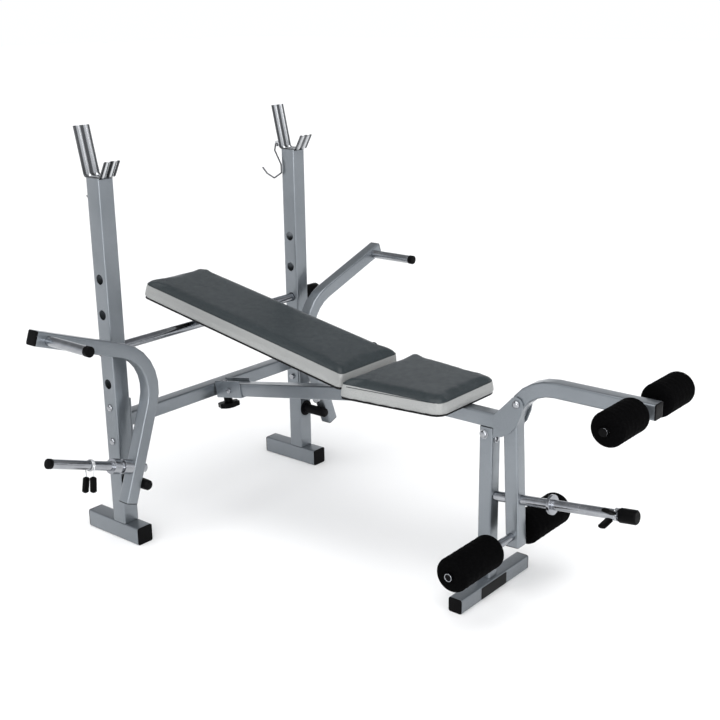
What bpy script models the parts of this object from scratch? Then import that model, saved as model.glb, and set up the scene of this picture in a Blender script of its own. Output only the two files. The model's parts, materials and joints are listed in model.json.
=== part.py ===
"""Adjustable weight bench: bar rack, tilting backrest, seat, leg lever and butterfly arms.

Units are metres. +Z is up, +Y points to the head end, and -Y to the foot end. The uprights
stand on the plane y = 0 of the bench's own frame, which BENCH_SHIFT moves so that the origin
lies under the middle of the whole bench. side is -1 on the left (-X) and +1 on the right.
"""

import math

import bmesh
import bpy
from mathutils import Matrix, Vector

# Gaps and mesh fineness
GAP = 0.0003
ROUND_SIDES = 20
CORNER_STEPS = 2
BEND_STEPS = 7
WIRE_STEPS = 3
CUT_SIDES = 16
SMOOTH_ANGLE = math.radians(35)
BENCH_SHIFT = 0.6166

# Directions
X_AXIS = Vector((1, 0, 0))
Y_AXIS = Vector((0, 1, 0))
Z_AXIS = Vector((0, 0, 1))
SIDES = (("left", -1), ("right", 1))

# Square tube: side, wall and corner radius
POST_TUBE = 0.050
BEAM_TUBE = 0.038
CROSS_TUBE = 0.040
RAIL_TUBE = 0.025
WALL = 0.002
CORNER = 0.005
BAR_RADIUS = 0.0125

# Plastic end caps that plug into a tube
CAP_FLANGE = 0.003
CAP_PLUG = 0.012
CAP_EDGE = 0.001

# Uprights, rear feet and bar rests
UPRIGHT_X = 0.364
UPRIGHT_TOP = 1.005
REAR_FOOT_FRONT = -0.079
REAR_FOOT_BACK = 0.135
PIN_HOLE_RADIUS = 0.0135
PIN_HOLE_PITCH = 0.0955
REST_SHEET = 0.003
REST_WIDTH = 0.050
REST_BEND = 0.006
EAR_HOLE_RADIUS = 0.0034
HOOK_WIRE = 0.0025
HOOK_X = 0.333
HOOK_BEND = 0.004
HOOK_PIVOT_Y = 0.0400
HOOK_PIVOT_Z = 1.018
HOOK_WALL_GAP = 0.009
HOOK_TAIL = 0.010
HOOK_EAR = (0.029, 0.050)
HOOK_EAR_HALF_HEIGHT = 0.010
# Points (y, z) that the hook's wire runs through below its pivot, down to its tip
HOOK_SHANK = ((0.0445, 0.998), (0.0200, 0.957), (0.0200, 0.932))
HOOK_TIP = ((0.0500, 0.9140), (0.0800, 0.9260), (0.0976, 0.943))
# (y, z) of a bar rest's strip: top of the tall arm, the two floor corners, top of the low arm
REST_TALL_TOP = (0.0555, 1.131)
REST_FLOOR_BACK = 0.0275
REST_FLOOR_FRONT = -0.0315
REST_LOW_TOP = (-0.0545, 1.045)

# Crossbar and its bolted end plates
CROSSBAR_Z = 0.343
END_PLATE = 0.005
END_PLATE_WIDTH = 0.045
END_PLATE_LOW = 0.259
END_PLATE_HIGH = 0.404
FRAME_BOLT_HEIGHTS = (0.3856, 0.2891)
FRAME_BOLT_RADIUS = 0.005
FRAME_BOLT_SIDES = 12

# Bolts: a nut or head is (thickness, radius), and a head is domed
DOME_SHOULDER = 0.95
DOME_TOP = 0.5
FRAME_BOLT_NUT = (0.007, 0.0085)
FRAME_BOLT_HEAD = (0.006, 0.0100)
BEAM_PIN_NUT = (0.005, 0.0080)
BEAM_PIN_HEAD = (0.006, 0.0078)
LEVER_BOLT_NUT = (0.007, 0.0085)
LEVER_BOLT_HEAD = (0.006, 0.0098)
BACKREST_PIN_NUT = (0.006, 0.0090)
BACKREST_PIN_HEAD = (0.005, 0.0098)
HANDLE_BOLT_RADIUS = 0.005
HANDLE_BOLT_HEAD = (0.006, 0.0085)
PEG_BOLT_RADIUS = 0.006
PEG_BOLT_HEAD = (0.017, 0.0130)
PEG_BOLT_DOME = (0.013, 0.0090)

# Support bar: how far it sticks out of the left upright, and its knob's (along, radius)
SUPPORT_BAR_OUT = 0.016
SUPPORT_BAR_SHOULDER = 0.002
SUPPORT_KNOB_PLUG = 0.030
SUPPORT_KNOB = ((GAP, 0.0170), (0.020, 0.0185), (0.030, 0.0240), (0.062, 0.0240), (0.068, 0.0190))

# Main beam: it climbs towards the foot end, then runs level
BEAM_REAR_Y = -0.0255
BEAM_SLOPE = math.radians(10.1)
BEAM_LEVEL_Z = 0.4575
BEAM_BEND_Y = -0.666
BEAM_FRONT_Y = -0.983
BEAM_BEND_RADIUS = 0.15

# Front post and foot
FRONT_POST_Y = -0.960
FRONT_FOOT_Y = -0.969
FRONT_FOOT_HALF = 0.154

# Bracket that clamps the beam to the crossbar
BRACKET_SHEET = 0.003
BRACKET_LENGTH = 0.102
BRACKET_RISE = 0.0277
CLAMP_ALONG = 0.020
CLAMP_RADIUS = 0.005
BEAM_PIN_ALONG = 0.056
BEAM_PIN_RADIUS = 0.004
HINGE_SLEEVE_SINK = 0.0005
HINGE_SIDE_GAP = 0.001
# The clamp bolt's shank below the bracket and its head's (height above the beam, radius)
CLAMP_BOLT_BELOW = 0.030
CLAMP_BOLT_HEAD = ((0, 0.0095), (0.0025, 0.0090), (0.0055, 0.0045))
# The clamp knob: (depth below the bracket, radius) of its hub, and its lobed rim
KNOB_HUB_RADIUS = 0.0125
KNOB_HUB_DEPTH = 0.016
KNOB_RIM_RADIUS = 0.0300
KNOB_RIM_DEPTHS = (0.018, 0.031)
KNOB_LOBE = 0.10
KNOB_LOBES = 6
KNOB_FACE = (0.034, 0.0220)

# Backrest and seat
BACKREST_TILT = math.radians(10.13)
BACKREST_HINGE_ALONG = 0.558
HINGE_SLEEVE_RADIUS = 0.012
HINGE_PIN_RADIUS = 0.006
RAIL_X = 0.060
RAIL_REAR = -0.016
RAIL_SHORT_OF_PAD = 0.075
STRAP_PLACES = (0.12, 0.62)
STRAP_HALF = (0.0125, 0.0015)
BACKREST_WIDTH = 0.245
BACKREST_FROM = -0.0156
BACKREST_LENGTH = 0.765
BACKREST_THICKNESS = 0.050
BOARD = 0.012
SEAT_REAR_Y = -0.611
SEAT_FRONT_Y = -0.903
SEAT_REAR_HALF = 0.160
SEAT_FRONT_HALF = 0.125
SEAT_REAR_TOP = 0.524
SEAT_FRONT_TOP = 0.518
BOARD_INSET = 0.004
CUSHION_EDGE = 0.009
# Corner radii of a pad's outline, at its head end and at its foot end
SEAT_CORNERS = (0.014, 0.034)
SEAT_BOARD_CORNERS = (0.010, 0.030)
BACKREST_CORNERS = (0.026, 0.014)
BACKREST_BOARD_CORNERS = (0.022, 0.010)

# Leg lever
LEVER_PIVOT = Vector((0, -1.045, 0.515))
LEVER_BEND_CENTRE = Vector((0, -1.140, 0.454))
LEVER_BEND_RADIUS = 0.113
LEVER_LEAN = math.radians(2.85)
LEVER_FOOT_Z = 0.146
LEVER_NOSE_Y = -1.388
LEVER_BOLT_RADIUS = 0.006
CHEEK_SHEET = 0.0035
CHEEK_GAP = 0.0007
CHEEK_ROUND = 0.0185
CHEEK_ROUND_DEGREES = (50, 90, 130, 170, 200)
# (y, z) along a cheek's upper edge from the beam, and back along its lower edge
CHEEK_UPPER_EDGE = ((-1.0036, 0.497), (-1.0285, 0.5235))
CHEEK_LOWER_EDGE = ((-1.0600, 0.492), (-1.0500, 0.465), (-1.0300, 0.440), (-1.0080, 0.425))
CHEEK_WEB = (0.475, 0.420)
ROLLER_BAR_RADIUS = 0.010
UPPER_ROLLER_AT = Vector((0, -1.357, 0.568))
UPPER_BAR = (-0.192, 0.192)
UPPER_ROLLERS = ((-0.180, -0.050), (0.050, 0.180))
UPPER_ROLLER_RADIUS = 0.040
LOWER_ROLLER_AT = Vector((0, -1.0395, 0.172))
LOWER_BAR = (-0.286, 0.213)
LOWER_ROLLERS = ((-0.278, -0.108), (0.035, 0.205))
LOWER_ROLLER_RADIUS = 0.0425
ROLLER_EDGE = 0.010
LEVER_PEG_REAR = Vector((0, -0.9810, 0.2578))
LEVER_PEG_TILT = math.radians(7.3)
LEVER_PEG_LENGTH = 0.3725
LEVER_COLLAR = (0.155, 0.163)
LEVER_COLLAR_RADIUS = 0.0245
LEVER_CAP_START = 0.3357
LEVER_CAP_RADIUS = 0.0175
LEVER_CAP_OVER = 0.006
LEVER_CAP_EDGE = 0.003

# Butterfly arms, in the plane y = ARM_Y; across is measured outwards from x = 0
ARM_Y = -0.0794
ARM_TILT = math.radians(19.7)
ARM_ELBOW = (0.2781, 0.5207)
ARM_UPPER = 0.4075
ARM_LOWER = 0.4035
ARM_BEND_RADIUS = 0.130
ARM_PIVOT = (0.364, 0.180)
ARM_SLEEVE_RADIUS = 0.0146
ARM_AXLE_RADIUS = 0.006
ARM_WASHER = 0.002
ARM_WASHER_RADIUS = 0.0250
# The arm axle's rear nut and front head: (distance past the face, radius)
ARM_AXLE_REAR = ((0.007, 0.0080), (0.004, 0.0100), (0, 0.0100))
ARM_AXLE_FRONT = ((GAP, 0.0140), (0.009, 0.0140), (0.013, 0.0100))
HANDLE_ALONG = 0.3726
HANDLE_END_Y = -0.255
WEIGHT_PEG_ALONG = 0.3068
WEIGHT_PEG_LENGTH = 0.289
PEG_SPACER = (0.049, 0.0200)
PEG_COLLAR = (0.061, 0.085)
PEG_COLLAR_RADIUS = 0.0210

# Spring clips on the weight pegs and on the lever's peg: a sprung sleeve with two paddles
CLIP_RADIUS = 0.0165
CLIP_HALF = 0.0065
PADDLE_START = 0.0285
PADDLE_LENGTH = 0.043
PADDLE_HALF_WIDTH = 0.0100
PADDLE_HALF_DEPTH = 0.0053
PADDLE_STAGGER = -0.0035
CLIP_NECK = 0.0020
SIDE_CLIP_ALONG = 0.155
SIDE_PADDLE_GAP = 0.0092
SIDE_PADDLE_SPLAY = math.radians(3.5)
SIDE_PADDLE_TURN = math.radians(15)
LEVER_CLIP_ALONG = 0.3280
LEVER_PADDLE_GAP = 0.0070
LEVER_PADDLE_SPLAY = math.radians(18)
LEVER_PADDLE_RISE = math.radians(12)


def make_material(name, colour, metallic, roughness):
    material = bpy.data.materials.new(name)
    material.use_nodes = True
    shader = material.node_tree.nodes["Principled BSDF"]
    shader.inputs["Base Color"].default_value = (*colour, 1)
    shader.inputs["Metallic"].default_value = metallic
    shader.inputs["Roughness"].default_value = roughness
    material.diffuse_color = (*colour, 1)
    return material


# Groups and objects


def make_pivot(name, parent, place, tilt=0.0):
    """An empty on a joint's axis, for the pieces that turn about it."""
    pivot = bpy.data.objects.new(name, None)
    bpy.context.collection.objects.link(pivot)
    pivot.parent = parent
    pivot.location = place
    pivot.rotation_euler = (tilt, 0, 0)
    return pivot


def add_object(name, shape, parent, material=None, origin=(0, 0, 0)):
    """Makes an object of a bmesh drawn in its parent's frame, with its own origin at origin."""
    mesh = bpy.data.meshes.new(name)
    bmesh.ops.recalc_face_normals(shape, faces=shape.faces)
    shape.to_mesh(mesh)
    shape.free()
    mesh.transform(Matrix.Translation(-Vector(origin)))
    mesh.shade_smooth()
    mesh.set_sharp_from_angle(angle=SMOOTH_ANGLE)
    if material:
        mesh.materials.append(material)
    obj = bpy.data.objects.new(name, mesh)
    bpy.context.collection.objects.link(obj)
    obj.parent = parent
    obj.location = origin
    return obj


def add_tool(name, shape, parent):
    """A cutter or a welded-on shape, which only Boolean modifiers use."""
    tool = add_object(name, shape, parent)
    tool.hide_render = True
    tool.display_type = "WIRE"
    return tool


def combine(obj, tool, operation):
    modifier = obj.modifiers.new(tool.name, "BOOLEAN")
    modifier.operation = operation
    modifier.object = tool


def cut(obj, *tools):
    for tool in tools:
        combine(obj, tool, "DIFFERENCE")


def weld(obj, *tools):
    for tool in tools:
        combine(obj, tool, "UNION")


# Shapes


def loft(outer, inner=None):
    """A closed shape through outer rings of points, hollow and open-ended when it has inner rings."""
    shape = bmesh.new()

    def skin(rings):
        loops = [[shape.verts.new(point) for point in ring] for ring in rings]
        for low, high in zip(loops, loops[1:]):
            for i in range(len(low)):
                j = (i + 1) % len(low)
                shape.faces.new((low[i], low[j], high[j], high[i]))
        return loops[0], loops[-1]

    ends = skin(outer)
    if inner is None:
        shape.faces.new(ends[0])
        shape.faces.new(ends[1])
        return shape
    for outside, inside in zip(ends, skin(inner)):
        for i in range(len(outside)):
            j = (i + 1) % len(outside)
            shape.faces.new((outside[i], outside[j], inside[j], inside[i]))
    return shape


def frame_at(place, direction, across):
    """A matrix at place whose X is across and whose Z is direction."""
    up = Vector(direction).cross(across)
    return Matrix.Translation(place) @ Matrix((across, up, direction)).transposed().to_4x4()


def rounded_square(side, corner):
    points = []
    for quarter in range(4):
        turn = math.radians(90 * quarter)
        reach = (side / 2 - corner) * math.sqrt(2)
        middle = Vector((math.cos(turn + math.pi / 4), math.sin(turn + math.pi / 4), 0)) * reach
        for step in range(CORNER_STEPS + 1):
            angle = turn + math.radians(90) * step / CORNER_STEPS
            points.append(middle + Vector((math.cos(angle), math.sin(angle), 0)) * corner)
    return points


def circle(radius, sides=ROUND_SIDES, lobe=0.0, lobes=0):
    points = []
    for step in range(sides):
        angle = 2 * math.pi * step / sides
        reach = radius * (1 + lobe * math.cos(lobes * angle))
        points.append(Vector((reach * math.cos(angle), reach * math.sin(angle), 0)))
    return points


def ring_at(frame, points, along=0.0):
    return [frame @ (point + Vector((0, 0, along))) for point in points]


def square_tube(side, frames):
    """A square tube with open ends, through frames along its centre line."""
    outside = rounded_square(side, CORNER)
    inside = rounded_square(side - 2 * WALL, CORNER - WALL)
    return loft([ring_at(f, outside) for f in frames], [ring_at(f, inside) for f in frames])


def straight_tube(side, start, end, across):
    start, end = Vector(start), Vector(end)
    direction = (end - start).normalized()
    return square_tube(side, [frame_at(place, direction, across) for place in (start, end)])


def turned(profile, frame, sides=ROUND_SIDES):
    """A solid turned about the frame's Z. profile lists (distance along, radius) from end to end."""
    rings = [ring_at(frame, circle(radius, sides), along) for along, radius in profile]
    return loft(rings)


def turned_sleeve(profile, bore, frame, sides=ROUND_SIDES):
    """As turned, with a bore right through."""
    outer = [ring_at(frame, circle(radius, sides), along) for along, radius in profile]
    ends = (profile[0][0], profile[-1][0])
    return loft(outer, [ring_at(frame, circle(bore, sides), along) for along in ends])


def prism(outline, depth):
    """A flat outline pushed along depth."""
    return loft([[Vector(point) for point in outline], [Vector(point) + depth for point in outline]])


def block(low, high):
    corners = ((low[0], low[1]), (high[0], low[1]), (high[0], high[1]), (low[0], high[1]))
    outline = [Vector((x, y, low[2])) for x, y in corners]
    return prism(outline, Vector((0, 0, high[2] - low[2])))


def rod(start, end, radius, sides=CUT_SIDES):
    start, end = Vector(start), Vector(end)
    direction = (end - start).normalized()
    across = Vector((0, 0, 1)) if abs(direction.z) < 0.9 else Vector((1, 0, 0))
    across = (across - direction * across.dot(direction)).normalized()
    frame = frame_at(start, direction, across)
    return turned([(0, radius), ((end - start).length, radius)], frame, sides)


def combined(shapes):
    """Several separate shapes as one bmesh."""
    whole = bmesh.new()
    for shape in shapes:
        mesh = bpy.data.meshes.new("piece")
        shape.to_mesh(mesh)
        shape.free()
        whole.from_mesh(mesh)
        bpy.data.meshes.remove(mesh)
    return whole


def rounded_route(points, radius, steps):
    """(place, direction) pairs along a polyline whose inner corners are arcs."""
    points = [Vector(point) for point in points]
    route = [(points[0], (points[1] - points[0]).normalized())]
    for before, corner, after in zip(points, points[1:], points[2:]):
        into = (corner - before).normalized()
        out = (after - corner).normalized()
        turn = into.angle(out)
        side = (out - into * into.dot(out)).normalized()
        centre = corner - into * radius * math.tan(turn / 2) + side * radius
        for step in range(steps + 1):
            angle = turn * step / steps
            direction = into * math.cos(angle) + side * math.sin(angle)
            place = centre + (into * math.sin(angle) - side * math.cos(angle)) * radius
            route.append((place, direction))
    route.append((points[-1], (points[-1] - points[-2]).normalized()))
    return route


def end_cap(side, place, outward, across):
    """A plastic cap: a plug inside the tube's end and a flange over it."""
    plug = rounded_square(side - 2 * (WALL + GAP), CORNER - WALL - GAP)
    flange = rounded_square(side, CORNER)
    face = rounded_square(side - 2 * CAP_EDGE, CORNER - CAP_EDGE)
    stations = (
        (-CAP_PLUG, plug),
        (GAP, plug),
        (GAP, flange),
        (CAP_FLANGE - CAP_EDGE, flange),
        (CAP_FLANGE, face),
    )
    frame = frame_at(place, Vector(outward), across)
    return loft([ring_at(frame, points, along) for along, points in stations])


def bolt_profile(shank, nut_at, head_at, nut, head):
    """(along, radius) pairs of a bolt with a nut at one end and a domed head at the other."""
    return (
        (nut_at - nut[0], nut[1]),
        (nut_at, nut[1]),
        (nut_at, shank),
        (head_at, shank),
        (head_at, head[1]),
        (head_at + head[0] / 2, head[1] * DOME_SHOULDER),
        (head_at + head[0], head[1] * DOME_TOP),
    )


# Bar rack


def pin_hole_heights(support_z):
    """The third hole holds the support bar, which lies on the hole's lower edge."""
    third = support_z + PIN_HOLE_RADIUS - BAR_RADIUS - GAP
    return [third + PIN_HOLE_PITCH * step for step in (2, 1, 0, -1)]


def build_uprights(bench, paint, support_z):
    reach = UPRIGHT_X + POST_TUBE
    holes = [
        rod((-reach, 0, z), (reach, 0, z), PIN_HOLE_RADIUS) for z in pin_hole_heights(support_z)
    ]
    holes += [
        rod((-reach, 0, z), (reach, 0, z), FRAME_BOLT_RADIUS + GAP, FRAME_BOLT_SIDES)
        for z in FRAME_BOLT_HEIGHTS
    ]
    for _, side in SIDES:
        x, z = side * ARM_PIVOT[0], ARM_PIVOT[1]
        holes.append(rod((x, -POST_TUBE, z), (x, POST_TUBE, z), ARM_AXLE_RADIUS + GAP))
    upright_holes = add_tool("upright_holes", combined(holes), bench)
    for name, side in SIDES:
        x = side * UPRIGHT_X
        tube = straight_tube(POST_TUBE, (x, 0, POST_TUBE + GAP), (x, 0, UPRIGHT_TOP), X_AXIS)
        upright = add_object("upright_" + name, tube, bench, paint, (x, 0, 0))
        cut(upright, upright_holes)


def build_rear_feet(bench, paint, plastic):
    for name, side in SIDES:
        x = side * UPRIGHT_X
        ends = (("front", REAR_FOOT_FRONT + CAP_FLANGE, -1), ("back", REAR_FOOT_BACK - CAP_FLANGE, 1))
        middle = POST_TUBE / 2
        tube = straight_tube(POST_TUBE, (x, ends[0][1], middle), (x, ends[1][1], middle), X_AXIS)
        add_object("rear_foot_" + name, tube, bench, paint, (x, 0, 0))
        for end, y, outward in ends:
            place = Vector((x, y, middle))
            cap = end_cap(POST_TUBE, place, Y_AXIS * outward, X_AXIS)
            add_object("rear_foot_cap_%s_%s" % (name, end), cap, bench, plastic, place)


def build_bar_rests(bench, zinc):
    """A bent strip on top of each upright, with a tall rear arm, and an ear for the hook."""
    floor = UPRIGHT_TOP + GAP + REST_SHEET / 2
    line = (REST_TALL_TOP, (REST_FLOOR_BACK, floor), (REST_FLOOR_FRONT, floor), REST_LOW_TOP)
    route = rounded_route([(0, y, z) for y, z in line], REST_BEND, WIRE_STEPS)
    outward = [X_AXIS.cross(direction) * REST_SHEET / 2 for _, direction in route]
    outline = [place + offset for (place, _), offset in zip(route, outward)]
    outline += [place - offset for (place, _), offset in reversed(list(zip(route, outward)))]
    for name, side in SIDES:
        start = Vector((side * UPRIGHT_X - REST_WIDTH / 2, 0, 0))
        strip = prism([start + point for point in outline], X_AXIS * REST_WIDTH)
        rest = add_object("bar_rest_" + name, strip, bench, zinc, (side * UPRIGHT_X, 0, UPRIGHT_TOP))
        inner = side * (UPRIGHT_X - REST_WIDTH / 2)
        faces = sorted((inner - side * REST_SHEET / 2, inner + side * REST_SHEET / 2))
        low = (faces[0], HOOK_EAR[0], HOOK_PIVOT_Z - HOOK_EAR_HALF_HEIGHT)
        high = (faces[1], HOOK_EAR[1], HOOK_PIVOT_Z + HOOK_EAR_HALF_HEIGHT)
        ear = add_tool("hook_ear_" + name, block(low, high), bench)
        hole = rod(
            (inner - REST_SHEET * 3, HOOK_PIVOT_Y, HOOK_PIVOT_Z),
            (inner + REST_SHEET * 3, HOOK_PIVOT_Y, HOOK_PIVOT_Z),
            EAR_HOLE_RADIUS,
            FRAME_BOLT_SIDES,
        )
        weld(rest, ear)
        cut(rest, add_tool("hook_hole_" + name, hole, bench))


def build_hooks(bench, zinc):
    """A wire hook that hangs from the ear of each bar rest."""
    wire = ((HOOK_PIVOT_Y, HOOK_PIVOT_Z), *HOOK_SHANK, *HOOK_TIP)
    for name, side in SIDES:
        pivot = (side * HOOK_X, HOOK_PIVOT_Y, HOOK_PIVOT_Z)
        stub = side * (UPRIGHT_X - REST_WIDTH / 2 + HOOK_WALL_GAP)
        points = [(stub, HOOK_PIVOT_Y, HOOK_PIVOT_Z - HOOK_TAIL), (stub, HOOK_PIVOT_Y, HOOK_PIVOT_Z)]
        points += [(side * HOOK_X, y, z) for y, z in wire]
        curve = bpy.data.curves.new("bar_hook_" + name, "CURVE")
        curve.dimensions = "3D"
        curve.bevel_depth = HOOK_WIRE
        curve.bevel_resolution = 1
        curve.use_fill_caps = True
        route = rounded_route(points, HOOK_BEND, WIRE_STEPS)
        places = [place - Vector(pivot) for place, _ in route]
        spline = curve.splines.new("POLY")
        spline.points.add(len(places) - 1)
        for point, place in zip(spline.points, places):
            point.co = (*place, 1)
        curve.materials.append(zinc)
        hook = bpy.data.objects.new("bar_hook_" + name, curve)
        bpy.context.collection.objects.link(hook)
        hook.parent = bench
        hook.location = pivot


def build_crossbar(bench, paint, chrome):
    inner_face = UPRIGHT_X - POST_TUBE / 2 - GAP
    end = inner_face - END_PLATE - GAP
    tube = straight_tube(CROSS_TUBE, (-end, 0, CROSSBAR_Z), (end, 0, CROSSBAR_Z), Y_AXIS)
    add_object("rear_crossbar", tube, bench, paint, (0, 0, CROSSBAR_Z))
    half = END_PLATE_WIDTH / 2
    holes = [
        rod((-UPRIGHT_X, 0, z), (UPRIGHT_X, 0, z), FRAME_BOLT_RADIUS + GAP, FRAME_BOLT_SIDES)
        for z in FRAME_BOLT_HEIGHTS
    ]
    plate_holes = add_tool("plate_holes", combined(holes), bench)
    for name, side in SIDES:
        faces = sorted((side * (inner_face - END_PLATE), side * inner_face))
        low, high = (faces[0], -half, END_PLATE_LOW), (faces[1], half, END_PLATE_HIGH)
        place = (side * inner_face, 0, CROSSBAR_Z)
        plate = add_object("crossbar_plate_" + name, block(low, high), bench, paint, place)
        cut(plate, plate_holes)
        for level, z in zip(("upper", "lower"), FRAME_BOLT_HEIGHTS):
            add_frame_bolt("upright_bolt_%s_%s" % (name, level), side, z, bench, chrome)


def add_frame_bolt(name, side, z, bench, chrome):
    """A bolt from the upright's outer face, with its nut inside the end plate."""
    nut = UPRIGHT_X - POST_TUBE / 2 - 2 * GAP - END_PLATE
    head = UPRIGHT_X + POST_TUBE / 2 + GAP
    profile = bolt_profile(FRAME_BOLT_RADIUS, nut, head, FRAME_BOLT_NUT, FRAME_BOLT_HEAD)
    frame = frame_at(Vector((0, 0, z)), X_AXIS * side, Y_AXIS)
    shape = turned(profile, frame, FRAME_BOLT_SIDES)
    add_object(name, shape, bench, chrome, (side * UPRIGHT_X, 0, z))


def build_support_bar(bench, chrome, plastic, support_z):
    frame = frame_at(Vector((0, 0, support_z)), X_AXIS, Y_AXIS)
    start = -UPRIGHT_X - POST_TUBE / 2 - SUPPORT_BAR_OUT
    end = UPRIGHT_X + POST_TUBE / 2 + SUPPORT_BAR_SHOULDER
    bar = turned_sleeve([(start, BAR_RADIUS), (end, BAR_RADIUS)], BAR_RADIUS - WALL, frame)
    add_object("support_bar", bar, bench, chrome, (0, 0, support_z))
    plug = BAR_RADIUS - WALL - GAP
    profile = [(end - SUPPORT_KNOB_PLUG, plug), (end + GAP, plug)]
    profile += [(end + along, radius) for along, radius in SUPPORT_KNOB]
    add_object("support_bar_knob", turned(profile, frame), bench, plastic, (0, 0, support_z))


# Beam and front support


def beam_direction():
    return Vector((0, -math.cos(BEAM_SLOPE), math.sin(BEAM_SLOPE)))


def beam_normal():
    return Vector((0, math.sin(BEAM_SLOPE), math.cos(BEAM_SLOPE)))


def beam_point(along, above=0.0):
    """A point on the beam's rising stretch: along from its rear end, above from its centre line."""
    rise = (BEAM_REAR_Y - BEAM_BEND_Y) * math.tan(BEAM_SLOPE)
    rear = Vector((0, BEAM_REAR_Y, BEAM_LEVEL_Z - rise))
    return rear + beam_direction() * along + beam_normal() * above


def hinge_place():
    """The backrest's hinge, whose sleeve is welded a little way into the beam's top face."""
    above = BEAM_TUBE / 2 + HINGE_SLEEVE_RADIUS - HINGE_SLEEVE_SINK
    return beam_point(BACKREST_HINGE_ALONG, above)


def clamp_frame():
    return frame_at(beam_point(CLAMP_ALONG), beam_normal(), X_AXIS)


def build_beam(bench, paint):
    corner = Vector((0, BEAM_BEND_Y, BEAM_LEVEL_Z))
    front = Vector((0, BEAM_FRONT_Y, BEAM_LEVEL_Z))
    route = rounded_route((beam_point(0), corner, front), BEAM_BEND_RADIUS, WIRE_STEPS)
    tube = square_tube(BEAM_TUBE, [frame_at(place, way, X_AXIS) for place, way in route])
    beam = add_object("main_beam", tube, bench, paint, beam_point(0))
    half = RAIL_X - RAIL_TUBE / 2 - HINGE_SIDE_GAP
    sleeve_frame = frame_at(hinge_place(), X_AXIS, Y_AXIS)
    profile = ((-half, HINGE_SLEEVE_RADIUS), (half, HINGE_SLEEVE_RADIUS))
    sleeve = turned_sleeve(profile, HINGE_PIN_RADIUS + 2 * GAP, sleeve_frame)
    weld(beam, add_tool("hinge_sleeve", sleeve, bench))
    clamp, pin = beam_point(CLAMP_ALONG), beam_point(BEAM_PIN_ALONG)
    up, across = beam_normal() * POST_TUBE, X_AXIS * POST_TUBE
    clamp_hole = rod(clamp - up, clamp + up, CLAMP_RADIUS + GAP)
    pin_hole = rod(pin - across, pin + across, BEAM_PIN_RADIUS + GAP)
    holes = add_tool("beam_holes", combined([clamp_hole, pin_hole]), bench)
    cut(beam, holes)
    return holes


def build_beam_bracket(bench, paint, holes):
    """A channel round the beam's rear end, welded to the crossbar."""
    inner = BEAM_TUBE / 2 + GAP
    outer = inner + BRACKET_SHEET
    section = (
        (-outer, -outer),
        (outer, -outer),
        (outer, BRACKET_RISE),
        (inner, BRACKET_RISE),
        (inner, -inner),
        (-inner, -inner),
        (-inner, BRACKET_RISE),
        (-outer, BRACKET_RISE),
    )
    start = beam_point(0)
    outline = [start + X_AXIS * x + beam_normal() * up for x, up in section]
    channel = prism(outline, beam_direction() * BRACKET_LENGTH)
    bracket = add_object("beam_bracket", channel, bench, paint, start)
    cut(bracket, holes)


def build_beam_fasteners(bench, chrome, plastic):
    frame = clamp_frame()
    head = BEAM_TUBE / 2 + GAP
    web = -BEAM_TUBE / 2 - BRACKET_SHEET - 2 * GAP
    profile = [(web - CLAMP_BOLT_BELOW, CLAMP_RADIUS), (head, CLAMP_RADIUS)]
    profile += [(head + above, radius) for above, radius in CLAMP_BOLT_HEAD]
    add_object("beam_bolt", turned(profile, frame, CUT_SIDES), bench, chrome, frame.translation)

    hub = circle(KNOB_HUB_RADIUS)
    rim = circle(KNOB_RIM_RADIUS, ROUND_SIDES, KNOB_LOBE, KNOB_LOBES)
    stations = [(web, hub), (web - KNOB_HUB_DEPTH, hub)]
    stations += [(web - depth, rim) for depth in KNOB_RIM_DEPTHS]
    stations.append((web - KNOB_FACE[0], circle(KNOB_FACE[1])))
    outer = [ring_at(frame, points, along) for along, points in stations]
    bore = circle(CLAMP_RADIUS + GAP)
    inner = [ring_at(frame, bore, along) for along in (stations[0][0], stations[-1][0])]
    add_object("beam_knob", loft(outer, inner), bench, plastic, frame.translation)

    side = BEAM_TUBE / 2 + 2 * GAP + BRACKET_SHEET
    pin_frame = frame_at(beam_point(BEAM_PIN_ALONG), X_AXIS, Y_AXIS)
    pin_profile = bolt_profile(BEAM_PIN_RADIUS, -side, side, BEAM_PIN_NUT, BEAM_PIN_HEAD)
    shape = turned(pin_profile, pin_frame, CUT_SIDES)
    add_object("beam_pin", shape, bench, chrome, pin_frame.translation)


def build_front_support(bench, paint, plastic):
    low, high = BEAM_TUBE + GAP, BEAM_LEVEL_Z - BEAM_TUBE / 2 - GAP
    post = straight_tube(BEAM_TUBE, (0, FRONT_POST_Y, low), (0, FRONT_POST_Y, high), X_AXIS)
    add_object("front_post", post, bench, paint, (0, FRONT_POST_Y, 0))
    half = FRONT_FOOT_HALF - CAP_FLANGE
    middle = BEAM_TUBE / 2
    ends = [(way * half, FRONT_FOOT_Y, middle) for way in (-1, 1)]
    foot = straight_tube(BEAM_TUBE, *ends, Y_AXIS)
    add_object("front_foot", foot, bench, paint, (0, FRONT_FOOT_Y, 0))
    for name, side in SIDES:
        place = Vector((side * half, FRONT_FOOT_Y, middle))
        cap = end_cap(BEAM_TUBE, place, X_AXIS * side, Y_AXIS)
        add_object("front_foot_cap_" + name, cap, bench, plastic, place)


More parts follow.
